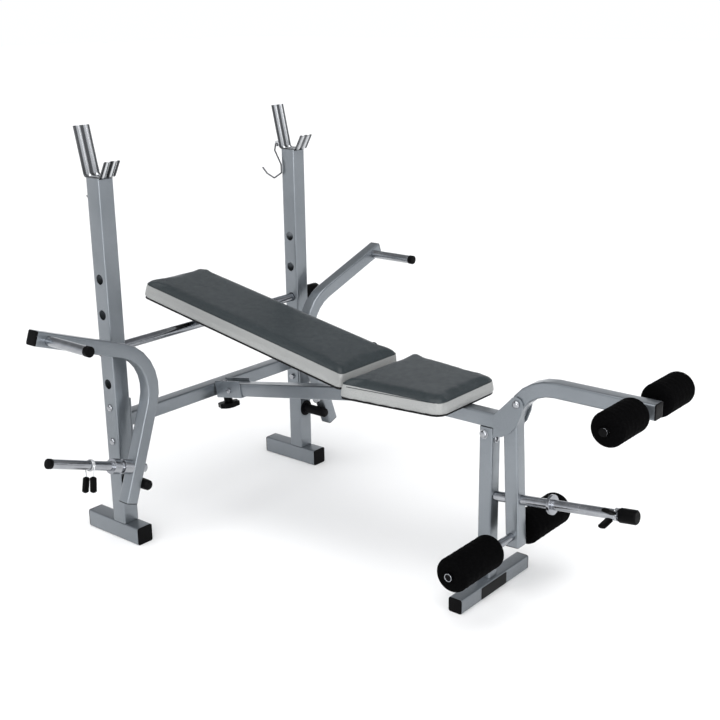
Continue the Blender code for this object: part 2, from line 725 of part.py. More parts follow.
def build_lever_bracket(bench, paint, chrome):
    """Two cheeks joined by a web, welded to the beam's front end, and the lever's pivot bolt."""
    web_back = BEAM_FRONT_Y - GAP
    cheek = [(web_back, CHEEK_WEB[0]), *CHEEK_UPPER_EDGE]
    for degrees in CHEEK_ROUND_DEGREES:
        angle = math.radians(degrees)
        y = LEVER_PIVOT.y + CHEEK_ROUND * math.cos(angle)
        cheek.append((y, LEVER_PIVOT.z + CHEEK_ROUND * math.sin(angle)))
    cheek += [*CHEEK_LOWER_EDGE, (web_back, CHEEK_WEB[1])]
    inner = BEAM_TUBE / 2 + CHEEK_GAP
    outer = inner + CHEEK_SHEET
    whole = prism([(-outer, y, z) for y, z in cheek], X_AXIS * 2 * outer)
    bracket = add_object("lever_bracket", whole, bench, paint, LEVER_PIVOT)
    front, low, high = LEVER_NOSE_Y, CHEEK_WEB[1] - POST_TUBE, LEVER_PIVOT.z + POST_TUBE
    slot = block((-inner, front, low), (inner, web_back - CHEEK_SHEET, high))
    across, radius = X_AXIS * POST_TUBE, LEVER_BOLT_RADIUS + GAP
    hole = rod(LEVER_PIVOT - across, LEVER_PIVOT + across, radius, ROUND_SIDES)
    bolt_hole = add_tool("lever_bolt_hole", hole, bench)
    cut(bracket, add_tool("lever_bracket_slot", slot, bench), bolt_hole)
    face = outer + GAP
    profile = bolt_profile(LEVER_BOLT_RADIUS, -face, face, LEVER_BOLT_NUT, LEVER_BOLT_HEAD)
    bolt = turned(profile, frame_at(LEVER_PIVOT, -X_AXIS, Y_AXIS))
    add_object("lever_bolt", bolt, bench, chrome, LEVER_PIVOT)
    return bolt_hole


# Backrest and seat


def pad_outline(rear, front, corners):
    """A four-sided outline in X and Y. rear and front are (y, half width); corners are the
    radii at the rear and at the front."""
    points = [(front[1], front[0]), (rear[1], rear[0]), (-rear[1], rear[0]), (-front[1], front[0])]
    radii = (corners[1], corners[0], corners[0], corners[1])
    outline = []
    for i, (point, radius) in enumerate(zip(points, radii)):
        trio = [Vector((*points[k % 4], 0)) for k in (i - 1, i, i + 1)]
        outline += [place for place, _ in rounded_route(trio, radius, WIRE_STEPS)[1:-1]]
    return outline


def padded_block(outline, low, high):
    """An outline raised between two heights, each a function of y, with its top edge rounded."""
    shape = prism(outline, Z_AXIS)
    for vert in shape.verts:
        vert.co.z = high(vert.co.y) if vert.co.z > 0.5 else low(vert.co.y)
    top = [
        edge
        for edge in shape.edges
        if all(abs(vert.co.z - high(vert.co.y)) < 1e-6 for vert in edge.verts)
    ]
    bmesh.ops.bevel(shape, geom=top, offset=CUSHION_EDGE, segments=3, profile=0.5, affect="EDGES")
    return shape


def board_block(outline, low):
    """The plywood under a cushion."""
    return prism([point + Z_AXIS * low for point in outline], Z_AXIS * BOARD)


def build_seat(bench, board_black, vinyl):
    bottom = BEAM_LEVEL_Z + BEAM_TUBE / 2 + GAP
    rear, front = (SEAT_REAR_Y, SEAT_REAR_HALF), (SEAT_FRONT_Y, SEAT_FRONT_HALF)
    place = (0, (SEAT_REAR_Y + SEAT_FRONT_Y) / 2, bottom)
    board_rear = (SEAT_REAR_Y - BOARD_INSET, SEAT_REAR_HALF - BOARD_INSET)
    board_front = (SEAT_FRONT_Y + BOARD_INSET, SEAT_FRONT_HALF - BOARD_INSET)
    outline = pad_outline(board_rear, board_front, SEAT_BOARD_CORNERS)
    add_object("seat_board", board_block(outline, bottom), bench, board_black, place)
    slope = (SEAT_REAR_TOP - SEAT_FRONT_TOP) / (SEAT_REAR_Y - SEAT_FRONT_Y)
    cushion = padded_block(
        pad_outline(rear, front, SEAT_CORNERS),
        lambda y: bottom + BOARD + GAP,
        lambda y: SEAT_FRONT_TOP + slope * (y - SEAT_FRONT_Y),
    )
    add_object("seat_cushion", cushion, bench, vinyl, place)


def build_backrest_pad(hinge, board_black, vinyl):
    under = RAIL_TUBE / 2 + GAP
    far, near = BACKREST_FROM + BACKREST_LENGTH, BACKREST_FROM
    half = BACKREST_WIDTH / 2
    board_far = (far - BOARD_INSET, half - BOARD_INSET)
    board_near = (near + BOARD_INSET, half - BOARD_INSET)
    outline = pad_outline(board_far, board_near, BACKREST_BOARD_CORNERS)
    add_object("backrest_board", board_block(outline, under), hinge, board_black)
    cushion = padded_block(
        pad_outline((far, half), (near, half), BACKREST_CORNERS),
        lambda y: under + BOARD + GAP,
        lambda y: under + BACKREST_THICKNESS,
    )
    add_object("backrest_cushion", cushion, hinge, vinyl)


def build_backrest_frame(hinge, paint, chrome):
    """Two rails joined by straps, and the pin that they turn on. It is drawn in the hinge's
    frame: +Y runs up the backrest, and +Z is square to it."""
    ends = (RAIL_REAR, BACKREST_LENGTH - RAIL_SHORT_OF_PAD)
    rails = {}
    for name, side in SIDES:
        start, end = [(side * RAIL_X, y, 0) for y in ends]
        rails[name] = straight_tube(RAIL_TUBE, start, end, X_AXIS)
    frame = add_object("backrest_frame", rails["left"], hinge, paint)
    inner = RAIL_X - RAIL_TUBE / 2 + WALL / 2
    across, radius = X_AXIS * BACKREST_WIDTH / 2, HINGE_PIN_RADIUS + GAP
    pin_hole = rod(-across, across, radius, ROUND_SIDES)
    half_width, half_sheet = STRAP_HALF
    straps = []
    for number, y in enumerate(STRAP_PLACES):
        low, high = (-inner, y - half_width, -half_sheet), (inner, y + half_width, half_sheet)
        straps.append(add_tool("strap_%d" % number, block(low, high), hinge))
    weld(frame, *straps, add_tool("rail_right", rails["right"], hinge))
    cut(frame, add_tool("rail_pin_hole", pin_hole, hinge))
    face = RAIL_X + RAIL_TUBE / 2 + GAP
    profile = bolt_profile(HINGE_PIN_RADIUS, -face, face, BACKREST_PIN_NUT, BACKREST_PIN_HEAD)
    pin_frame = frame_at(Vector((0, 0, 0)), -X_AXIS, Y_AXIS)
    add_object("backrest_pin", turned(profile, pin_frame), hinge, chrome)


# Leg lever


def lever_frames():
    """Frames up the lower leg, round the bend and out along the level arm."""
    down = Vector((0, -math.sin(LEVER_LEAN), -math.cos(LEVER_LEAN)))
    rearward = Vector((0, math.cos(LEVER_LEAN), -math.sin(LEVER_LEAN)))
    elbow = LEVER_BEND_CENTRE + rearward * LEVER_BEND_RADIUS
    foot = elbow + down * (elbow.z - LEVER_FOOT_Z) / math.cos(LEVER_LEAN)
    frames = [frame_at(foot, -down, X_AXIS)]
    turn = math.pi / 2 + LEVER_LEAN
    for step in range(BEND_STEPS + 1):
        angle = turn * step / BEND_STEPS - LEVER_LEAN
        spoke = Vector((0, math.cos(angle), math.sin(angle)))
        way = Vector((0, -math.sin(angle), math.cos(angle)))
        frames.append(frame_at(LEVER_BEND_CENTRE + spoke * LEVER_BEND_RADIUS, way, X_AXIS))
    top = LEVER_BEND_CENTRE.z + LEVER_BEND_RADIUS
    frames.append(frame_at(Vector((0, LEVER_NOSE_Y, top)), -Y_AXIS, X_AXIS))
    return frames


def lever_peg_frame():
    way = Vector((0, -math.cos(LEVER_PEG_TILT), math.sin(LEVER_PEG_TILT)))
    return frame_at(LEVER_PEG_REAR, way, X_AXIS)


def build_lever(pivot, bolt_hole, paint, chrome, plastic):
    to_pivot = Matrix.Translation(-LEVER_PIVOT)
    frames = [to_pivot @ frame for frame in lever_frames()]
    lever = add_object("leg_lever", square_tube(BEAM_TUBE, frames), pivot, paint)
    holes = []
    across = X_AXIS * POST_TUBE
    for place in (UPPER_ROLLER_AT, LOWER_ROLLER_AT):
        at = to_pivot @ place
        holes.append(rod(at - across, at + across, ROLLER_BAR_RADIUS + GAP))
    peg_frame = to_pivot @ lever_peg_frame()
    collar_start, collar_end = LEVER_COLLAR
    hole_ends = [peg_frame @ (Z_AXIS * along) for along in (GAP, collar_start - BAR_RADIUS)]
    holes.append(rod(*hole_ends, BAR_RADIUS + GAP, ROUND_SIDES))
    cut(lever, bolt_hole, add_tool("lever_holes", combined(holes), pivot))
    profile = (
        (0, BAR_RADIUS),
        (collar_start, BAR_RADIUS),
        (collar_start, LEVER_COLLAR_RADIUS),
        (collar_end, LEVER_COLLAR_RADIUS),
        (collar_end, BAR_RADIUS),
        (LEVER_CAP_START - GAP, BAR_RADIUS),
    )
    add_object("lever_peg", turned(profile, peg_frame), pivot, chrome)
    end = LEVER_PEG_LENGTH + LEVER_CAP_OVER
    cap_profile = (
        (LEVER_CAP_START, LEVER_CAP_RADIUS - CAP_EDGE),
        (LEVER_CAP_START + LEVER_CAP_EDGE, LEVER_CAP_RADIUS),
        (end - LEVER_CAP_EDGE, LEVER_CAP_RADIUS),
        (end, LEVER_CAP_RADIUS - LEVER_CAP_EDGE),
    )
    add_object("lever_peg_cap", turned(cap_profile, peg_frame), pivot, plastic)


def build_rollers(pivot, bench, chrome, foam):
    sets = (
        ("upper", UPPER_ROLLER_AT, UPPER_BAR, UPPER_ROLLERS, UPPER_ROLLER_RADIUS),
        ("lower", LOWER_ROLLER_AT, LOWER_BAR, LOWER_ROLLERS, LOWER_ROLLER_RADIUS),
    )
    edge = ROLLER_EDGE
    for level, place, bar_ends, rollers, radius in sets:
        frame = frame_at(place - LEVER_PIVOT, X_AXIS, Y_AXIS)
        bar_profile = [(end, ROLLER_BAR_RADIUS) for end in bar_ends]
        bar = turned_sleeve(bar_profile, ROLLER_BAR_RADIUS - WALL, frame)
        add_object(level + "_roller_bar", bar, pivot, chrome)
        for (name, _), (start, end) in zip(SIDES, rollers):
            profile = (
                (start, radius - edge),
                (start + edge, radius),
                (end - edge, radius),
                (end, radius - edge),
            )
            roller_frame = frame_at(place, X_AXIS, Y_AXIS)
            shape = turned_sleeve(profile, ROLLER_BAR_RADIUS + 2 * GAP, roller_frame)
            origin = place + X_AXIS * (start + end) / 2
            add_object("%s_roller_%s" % (level, name), shape, bench, foam, origin)


# Spring clips


def paddle(place, way, bar_axis):
    """A moulded grip: an oval bar whose wide side lies along bar_axis."""
    frame = frame_at(place, way, bar_axis)
    rings = []
    for along, share in ((0, 0.75), (0.002, 1), (PADDLE_LENGTH - 0.006, 1), (PADDLE_LENGTH, 0.65)):
        oval = [
            Vector((point.x * PADDLE_HALF_WIDTH, point.y * PADDLE_HALF_DEPTH, along))
            for point in circle(share)
        ]
        rings.append(ring_at(frame, oval))
    return loft(rings)


def add_clip(name, frame, centre_along, outward, gap, splay, bench, zinc):
    """A clip on the bar along the frame's Z. outward is the way its paddles point; gap is half
    the distance between their roots, and splay is how far each leans from outward."""
    axis = frame.to_3x3() @ Z_AXIS
    tangent = axis.cross(outward)
    centre = frame @ Vector((0, 0, centre_along))
    ends = (centre_along - CLIP_HALF, centre_along + CLIP_HALF)
    sleeve = turned_sleeve([(end, CLIP_RADIUS) for end in ends], BAR_RADIUS + 2 * GAP, frame)
    clip = add_object(name, sleeve, bench, zinc, centre)
    middle = (BAR_RADIUS + CLIP_RADIUS) / 2
    for number, way in enumerate((-1, 1)):
        shift = centre + axis * way * PADDLE_STAGGER
        lean = outward * math.cos(splay) + tangent * way * math.sin(splay)
        root = shift + outward * PADDLE_START + tangent * way * gap
        neck_start = shift + outward * middle + tangent * way * CLIP_NECK
        neck = rod(neck_start, root + lean * CLIP_NECK * 2, CLIP_NECK, 8)
        weld(clip, add_tool("%s_neck_%d" % (name, number), neck, bench))
        weld(clip, add_tool("%s_paddle_%d" % (name, number), paddle(root, lean, axis), bench))


def build_lever_clip(bench, zinc):
    frame = lever_peg_frame()
    turn = frame.to_3x3()
    outward = turn @ Vector((-math.cos(LEVER_PADDLE_RISE), math.sin(LEVER_PADDLE_RISE), 0))
    spread = (outward, LEVER_PADDLE_GAP, LEVER_PADDLE_SPLAY)
    add_clip("lever_peg_clip", frame, LEVER_CLIP_ALONG, *spread, bench, zinc)


# Butterfly arms


def arm_point(side, across, height):
    return Vector((side * across, ARM_Y, height))


def build_arm(name, side, pivot, bench, paint, chrome, zinc):
    """A bent arm with its hand bar, weight peg and spring clip."""
    outward = Vector((side * math.cos(ARM_TILT), 0, math.sin(ARM_TILT)))
    down = Vector((side * math.sin(ARM_TILT), 0, -math.cos(ARM_TILT)))
    to_pivot = Matrix.Translation(-pivot.location)
    elbow = to_pivot @ arm_point(side, *ARM_ELBOW)
    points = (elbow + outward * ARM_UPPER, elbow, elbow + down * ARM_LOWER)
    route = rounded_route(points, ARM_BEND_RADIUS, BEND_STEPS)
    tube = square_tube(BEAM_TUBE, [frame_at(place, way, Y_AXIS) for place, way in route])
    arm = add_object("side_arm_" + name, tube, pivot, paint)

    handle_frame = frame_at(elbow + outward * HANDLE_ALONG, -Y_AXIS, X_AXIS)
    handle = turned(handle_profile(), handle_frame)
    add_object("arm_handle_" + name, handle, pivot, chrome)
    peg_frame = frame_at(elbow + down * WEIGHT_PEG_ALONG, outward, Y_AXIS)
    peg = turned(weight_peg_profile(), peg_frame)
    add_object("weight_peg_" + name, peg, pivot, chrome)
    holes = []
    for frame, radius in ((handle_frame, HANDLE_BOLT_RADIUS), (peg_frame, PEG_BOLT_RADIUS)):
        ends = [frame @ (Z_AXIS * way * BEAM_TUBE) for way in (-1, 1)]
        holes.append(rod(*ends, radius + 2 * GAP))
    cut(arm, add_tool("arm_holes_" + name, combined(holes), pivot))

    clip_frame = Matrix.Translation(pivot.location) @ peg_frame
    paddles_point = down * math.cos(SIDE_PADDLE_TURN) - Y_AXIS * math.sin(SIDE_PADDLE_TURN)
    hanging = (paddles_point, SIDE_PADDLE_GAP, SIDE_PADDLE_SPLAY)
    add_clip("peg_clip_" + name, clip_frame, SIDE_CLIP_ALONG, *hanging, bench, zinc)


def handle_profile():
    """(along, radius) of a bolted-on hand bar, from its bolt's head to its tip."""
    face = BEAM_TUBE / 2 + GAP
    thickness, radius = HANDLE_BOLT_HEAD
    return (
        (-face - thickness, radius * DOME_SHOULDER),
        (-face, radius),
        (-face, HANDLE_BOLT_RADIUS),
        (face, HANDLE_BOLT_RADIUS),
        (face, BAR_RADIUS),
        (ARM_Y - HANDLE_END_Y, BAR_RADIUS),
    )


def weight_peg_profile():
    """(along, radius) of a weight peg, from its bolt's head past its spacer and collar."""
    face = BEAM_TUBE / 2 + GAP
    spacer_end, spacer_radius = PEG_SPACER
    return (
        (-face - PEG_BOLT_HEAD[0], PEG_BOLT_DOME[1]),
        (-face - PEG_BOLT_DOME[0], PEG_BOLT_HEAD[1]),
        (-face, PEG_BOLT_HEAD[1]),
        (-face, PEG_BOLT_RADIUS),
        (face, PEG_BOLT_RADIUS),
        (face, spacer_radius),
        (spacer_end, spacer_radius),
        (spacer_end, BAR_RADIUS),
        (PEG_COLLAR[0], BAR_RADIUS),
        (PEG_COLLAR[0], PEG_COLLAR_RADIUS),
        (PEG_COLLAR[1], PEG_COLLAR_RADIUS),
        (PEG_COLLAR[1], BAR_RADIUS),
        (WEIGHT_PEG_LENGTH, BAR_RADIUS),
    )


def build_arm_axle(name, pivot, bench, black_metal):
    """The arm's pivot: a sleeve welded to the arm, and the axle through the upright."""
    post_face = POST_TUBE / 2 + GAP
    washer_front = post_face + ARM_WASHER
    front = -ARM_Y + BEAM_TUBE / 2
    sleeve_frame = frame_at(Vector((0, 0, 0)), -Y_AXIS, X_AXIS)
    sleeve_ends = [(along, ARM_SLEEVE_RADIUS) for along in (washer_front + GAP, front)]
    sleeve = turned_sleeve(sleeve_ends, ARM_AXLE_RADIUS + GAP, sleeve_frame)
    add_object("arm_sleeve_" + name, sleeve, pivot, black_metal)
    profile = [(-post_face - past, radius) for past, radius in ARM_AXLE_REAR]
    profile += [
        (-post_face, ARM_AXLE_RADIUS),
        (post_face, ARM_AXLE_RADIUS),
        (post_face, ARM_WASHER_RADIUS),
        (washer_front, ARM_WASHER_RADIUS),
        (washer_front, ARM_AXLE_RADIUS),
        (front + GAP, ARM_AXLE_RADIUS),
    ]
    profile += [(front + past, radius) for past, radius in ARM_AXLE_FRONT]
    frame = frame_at(Vector(pivot.location), -Y_AXIS, X_AXIS)
    axle = turned(profile, frame, CUT_SIDES)
    add_object("arm_axle_" + name, axle, bench, black_metal, pivot.location)


def main():
    for old in list(bpy.data.objects):
        bpy.data.objects.remove(old)
    paint = make_material("silver_paint", (0.36, 0.38, 0.41), 0.75, 0.38)
    chrome = make_material("chrome", (0.62, 0.64, 0.66), 1.0, 0.16)
    zinc = make_material("zinc", (0.55, 0.56, 0.58), 1.0, 0.32)
    black_metal = make_material("black_metal", (0.03, 0.03, 0.035), 0.4, 0.45)
    plastic = make_material("black_plastic", (0.02, 0.02, 0.022), 0.0, 0.5)
    foam = make_material("black_foam", (0.012, 0.012, 0.013), 0.0, 0.9)
    board_black = make_material("black_board", (0.03, 0.03, 0.03), 0.0, 0.7)
    vinyl = make_material("black_vinyl", (0.035, 0.045, 0.05), 0.0, 0.35)

    bench = make_pivot("bench", None, (0, BENCH_SHIFT, 0))
    hinge = make_pivot("backrest_hinge", bench, hinge_place(), BACKREST_TILT)
    lever_pivot = make_pivot("lever_pivot", bench, LEVER_PIVOT)

    # The support bar touches the rails' underside where it crosses the uprights' plane.
    rails_above_hinge = -hinge_place().y * math.tan(BACKREST_TILT)
    drop = (RAIL_TUBE / 2 + GAP + BAR_RADIUS) / math.cos(BACKREST_TILT)
    support_z = hinge_place().z + rails_above_hinge - drop

    build_uprights(bench, paint, support_z)
    build_rear_feet(bench, paint, plastic)
    build_bar_rests(bench, zinc)
    build_hooks(bench, zinc)
    build_crossbar(bench, paint, chrome)
    build_support_bar(bench, chrome, plastic, support_z)
    beam_holes = build_beam(bench, paint)
    build_beam_bracket(bench, paint, beam_holes)
    build_beam_fasteners(bench, chrome, plastic)
    build_front_support(bench, paint, plastic)
    bolt_hole = build_lever_bracket(bench, paint, chrome)
    build_lever(lever_pivot, bolt_hole, paint, chrome, plastic)
    build_rollers(lever_pivot, bench, chrome, foam)
    build_lever_clip(bench, zinc)
    build_seat(bench, board_black, vinyl)
    build_backrest_pad(hinge, board_black, vinyl)
    build_backrest_frame(hinge, paint, chrome)
    for name, side in SIDES:
        place = (side * ARM_PIVOT[0], 0, ARM_PIVOT[1])
        arm_pivot = make_pivot("arm_pivot_" + name, bench, place)
        build_arm(name, side, arm_pivot, bench, paint, chrome, zinc)
        build_arm_axle(name, arm_pivot, bench, black_metal)


main()
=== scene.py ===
"""Adjustable weight bench: the looks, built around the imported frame.

Units are metres. +Z is up, +Y points to the head end, and -Y to the foot end. side is -1 on
the left (-X) and +1 on the right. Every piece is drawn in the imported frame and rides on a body.
"""

import json
import math
import random

import bmesh
import bpy
from mathutils import Matrix, Vector
from mathutils.bvhtree import BVHTree


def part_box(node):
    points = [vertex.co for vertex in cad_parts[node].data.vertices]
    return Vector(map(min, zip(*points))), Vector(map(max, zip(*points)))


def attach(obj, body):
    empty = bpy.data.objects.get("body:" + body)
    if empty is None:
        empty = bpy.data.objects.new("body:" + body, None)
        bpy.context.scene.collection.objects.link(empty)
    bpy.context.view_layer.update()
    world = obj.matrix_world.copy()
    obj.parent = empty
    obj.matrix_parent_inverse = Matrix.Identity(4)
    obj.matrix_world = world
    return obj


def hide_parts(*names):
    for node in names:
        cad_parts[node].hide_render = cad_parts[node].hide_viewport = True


random.seed(7)
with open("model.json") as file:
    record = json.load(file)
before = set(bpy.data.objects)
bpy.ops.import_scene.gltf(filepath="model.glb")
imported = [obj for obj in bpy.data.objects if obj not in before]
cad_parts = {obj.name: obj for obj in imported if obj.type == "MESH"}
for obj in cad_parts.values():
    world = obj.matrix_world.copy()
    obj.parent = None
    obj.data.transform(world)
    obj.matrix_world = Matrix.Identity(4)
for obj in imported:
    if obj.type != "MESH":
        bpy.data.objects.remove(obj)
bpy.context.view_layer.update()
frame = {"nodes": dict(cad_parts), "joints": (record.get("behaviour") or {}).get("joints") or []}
NODES = frame["nodes"]
JOINTS = {joint["name"]: joint for joint in frame["joints"]}
SIDES = (("left", -1), ("right", 1))
X_AXIS = Vector((1, 0, 0))
Y_AXIS = Vector((0, 1, 0))
Z_AXIS = Vector((0, 0, 1))

# Points closer than this are one point
SAME_POINT = 0.00001

# Sizes shared with the frame's own source
TUBE = 0.038
WALL = 0.002
TUBE_CORNER = 0.005
BAR_RADIUS = 0.0125
BACKREST_TILT = math.radians(10.13)
LEVER_LEAN = math.radians(2.85)
LEVER_FOOT_SHIFT = 0.0013
ARM_TILT = math.radians(19.7)
ARM_UPPER = 0.4075
ARM_LOWER = 0.4035

# Camera
CAMERA_PLACE = Vector((-2.2129, -1.7659, 1.4116))
CAMERA_LOOK = Vector((0.7368, 0.6088, -0.2943))
CAMERA_ROLL = math.radians(0.75)
LENS = 57.5
SENSOR = 36.0

# Pads. A cover starts narrower than its pad, because the air pressure swells it
BASE_SHOWS = 0.004
COVER_LIFT = 0.0002
COVER_NARROWED = 0.992
STAPLED_HEIGHT = 0.009
TOP_ROUNDING = 0.0080
CROWN_DROP = 0.0028
CROWN_REACH = 0.030
VOXEL = 0.0048
SWELL_CAP = 0.0055
PRESSURE = 4.0
SIM_FRAMES = 20
SEAM_RADIUS = 0.0009
SEAM_SPACING = 0.004

# Foam rollers
ROLLER_BORE = 0.0108
ROLLER_ROUNDING = 0.013
ROLLER_RIPPLE = 0.0004
ROLLER_ROUGHNESS = 0.0003
ROLLER_CORE = 0.020

# Plugs and caps
PLUG_STEM = 0.010
CONTACT_GAP = 0.0001

# Bar rests: a pressed strip with two ribs, a dark sheet on its floor as painted shade, and the eye
# that a hook hangs in
UPRIGHT_X = 0.364
REST_WIDTH = 0.050
REST_SHEET = 0.0024
REST_SUNK = 0.0006
REST_BEND = 0.007
REST_RIB = 0.0115
REST_RIB_HALF_WIDTH = 0.0062
REST_RIB_RISE = 0.0030
REST_EDGE_START = 0.0215
REST_EDGE_WIDTH = 0.0035
REST_EDGE_RISE = 0.0010
# The dark sheet on each rest's floor paints the shade in the cradle's bottom
SHADE_SHEET_MARGIN = 0.004
SHADE_SHEET_LIFT = 0.0026
EYE_RADIUS = 0.0085
EYE_HOLE_RADIUS = 0.0034
EYE_HALF_THICKNESS = 0.0013
EYE_DROP = 0.0025

# Spring clips: the coil, and the paddles as the frame's source places them
CLIP_WIRE = 0.0014
CLIP_PITCH = 0.0032
CLIP_TURNS = 2
PADDLE_START = 0.0285
PADDLE_LENGTH = 0.043
PADDLE_HALF_WIDTH = 0.0100
PADDLE_HALF_DEPTH = 0.0053
PADDLE_NOSE = 0.005
PADDLE_GROOVE_PITCH = 0.0052
PADDLE_STAGGER = -0.0035
SIDE_CLIP_FROM_TIP = 0.134
SIDE_PADDLE_GAP = 0.0092
SIDE_PADDLE_SPLAY = math.radians(3.5)
SIDE_PADDLE_TURN = math.radians(15)
LEVER_CLIP_TO_CAP = 0.0077
LEVER_PADDLE_GAP = 0.0070
LEVER_PADDLE_SPLAY = math.radians(18)
LEVER_PADDLE_RISE = math.radians(12)


# Procedural materials


class Finish:
    """One node-based material. Positions are the piece's own, in metres."""

    def __init__(self, name, **sockets):
        self.material = bpy.data.materials.new(name)
        self.material.use_nodes = True
        self.tree = self.material.node_tree
        self.shader = self.tree.nodes["Principled BSDF"]
        for socket, value in sockets.items():
            self.shader.inputs[socket.replace("_", " ")].default_value = value
        self.place = self.tree.nodes.new("ShaderNodeTexCoord").outputs["Object"]
        self.height = None

    def node(self, kind, **settings):
        """A new shader node, with its settings."""
        made = self.tree.nodes.new("ShaderNode" + kind)
        for name, value in settings.items():
            setattr(made, name, value)
        return made

    def feed(self, socket, value):
        """Links value to the socket, or sets it there when it is a constant."""
        if isinstance(value, bpy.types.NodeSocket):
            self.tree.links.new(value, socket)
        else:
            socket.default_value = value

    def stretched(self, scale):
        """The position with each axis scaled on its own."""
        mapping = self.node("Mapping")
        self.feed(mapping.inputs["Vector"], self.place)
        mapping.inputs["Scale"].default_value = scale
        return mapping.outputs["Vector"]

    def noise(self, scale, detail=3.0, vector=None):
        made = self.node("TexNoise")
        self.feed(made.inputs["Vector"], vector or self.place)
        made.inputs["Scale"].default_value = scale
        made.inputs["Detail"].default_value = detail
        return made.outputs["Fac"]

    def cells(self, scale, feature="F1", vector=None):
        made = self.node("TexVoronoi", feature=feature)
        self.feed(made.inputs["Vector"], vector or self.place)
        made.inputs["Scale"].default_value = scale
        return made.outputs["Distance"]

    def warped(self, scale, amount):
        """The position pushed about by noise, so that cells aren't regular."""
        made = self.node("TexNoise")
        self.feed(made.inputs["Vector"], self.place)
        made.inputs["Scale"].default_value = scale
        push = self.node("VectorMath", operation="MULTIPLY_ADD")
        self.feed(push.inputs[0], made.outputs["Color"])
        push.inputs[1].default_value = (amount, amount, amount)
        self.feed(push.inputs[2], self.place)
        return push.outputs["Vector"]

    def span(self, value, low, high, start=0.0, end=1.0):
        """value's stretch from start to end, mapped to low to high."""
        made = self.node("MapRange")
        self.feed(made.inputs["Value"], value)
        made.inputs["From Min"].default_value = start
        made.inputs["From Max"].default_value = end
        made.inputs["To Min"].default_value = low
        made.inputs["To Max"].default_value = high
        return made.outputs["Result"]

    def combine(self, a, b, operation="ADD"):
        """a and b added, or put through another of the Math node's operations."""
        made = self.node("Math", operation=operation)
        self.feed(made.inputs[0], a)
        self.feed(made.inputs[1], b)
        return made.outputs["Value"]

    def magnitude(self, value):
        return self.combine(value, 0.0, "ABSOLUTE")

    def axis(self, letter):
        """One coordinate of the position."""
        split = self.node("SeparateXYZ")
        self.feed(split.inputs[0], self.place)
        return split.outputs[letter]

    def mix(self, factor, a, b):
        """A colour from a to b as factor goes from 0 to 1."""
        made = self.node("Mix", data_type="RGBA")
        self.feed(made.inputs["Factor"], factor)
        for socket, value in ((made.inputs[6], a), (made.inputs[7], b)):
            self.feed(socket, (*value, 1) if isinstance(value, tuple) else value)
        return made.outputs[2]

    def bump(self, height, distance):
        """Adds a bump on top of those made before."""
        made = self.node("Bump")
        self.feed(made.inputs["Height"], height)
        made.inputs["Distance"].default_value = distance
        if self.height:
            self.feed(made.inputs["Normal"], self.height)
        self.height = made.outputs["Normal"]
        self.feed(self.shader.inputs["Normal"], self.height)

    def paint(self, colour, roughness):
        """Sets what is left of the shader, and returns the finished material."""
        self.feed(self.shader.inputs["Base Color"], colour)
        self.feed(self.shader.inputs["Roughness"], roughness)
        return self.material


def powder_coat():
    """Silver-grey metallic powder coat, with fine flakes and orange peel."""
    f = Finish("powder_coat", Metallic=0.85, Coat_Weight=0.5, Coat_Roughness=0.15)
    cloud = f.span(f.noise(5.0, 4.0), 0, 1, 0.35, 0.65)
    tone = f.mix(cloud, (0.158, 0.176, 0.194), (0.198, 0.217, 0.237))
    fleck = f.span(f.noise(2600.0, 1.0), 0, 1, 0.55, 0.78)
    colour = f.mix(fleck, tone, (0.38, 0.41, 0.435))
    f.bump(f.noise(520.0, 2.0), 0.0001)
    f.bump(f.noise(60.0, 2.0), 0.0002)
    return f.paint(colour, f.span(f.noise(17.0, 4.0), 0.30, 0.42, 0.3, 0.7))


def plating(name, dark, light, rough, brushed):
    """Plated steel: drawn lines along the bar, faint stains and fingerprints."""
    f = Finish(name, Metallic=1.0)
    lines = f.noise(1.0, 3.0, f.stretched(brushed))
    stain = f.span(f.noise(38.0, 5.0), 0, 1, 0.42, 0.68)
    shade = f.combine(f.span(lines, 0, 0.6), f.span(stain, 0, 0.4))
    f.bump(lines, 0.000012)
    roughness = f.combine(f.span(lines, *rough, 0.3, 0.7), f.span(stain, 0, 0.06))
    return f.paint(f.mix(shade, dark, light), roughness)


def moulded(name, dark, light, rough, grain):
    """Moulded black plastic with a fine sparked grain."""
    f = Finish(name, Specular_IOR_Level=0.05)
    colour = f.mix(f.span(f.noise(grain, 2.0), 0, 1, 0.4, 0.7), dark, light)
    f.bump(f.cells(grain), 0.00012)
    return f.paint(colour, f.span(f.noise(40.0, 4.0), *rough, 0.3, 0.7))


def sponge():
    """Closed-cell foam sleeve: open pores, painted darker inside as shade, over soft dents."""
    f = Finish("foam_rubber", Specular_IOR_Level=0.02)
    pores = f.cells(620.0, "SMOOTH_F1", f.warped(300.0, 0.0012))
    # Painted shade: darker inside each pore, lighter on the walls between pores
    pore_shade = f.span(pores, 0, 1, 0.1, 0.6)
    colour = f.mix(pore_shade, (0.0002, 0.0002, 0.0002), (0.0018, 0.0018, 0.0020))
    f.bump(f.noise(45.0, 3.0), 0.0012)
    f.bump(pores, 0.0008)
    return f.paint(colour, f.span(f.noise(90.0, 3.0), 0.82, 0.97, 0.3, 0.7))


def leather_grain(f):
    """Bumps f with pebbled leather grain, and returns 0 in its creases and 1 between them."""
    cells = f.cells(430.0, "DISTANCE_TO_EDGE", f.warped(160.0, 0.004))
    creases = f.span(cells, 0, 1, 0.0, 0.16)
    f.bump(f.noise(24.0, 3.0), 0.0011)
    f.bump(creases, 0.00022)
    f.bump(f.noise(1500.0, 2.0), 0.00006)
    return creases


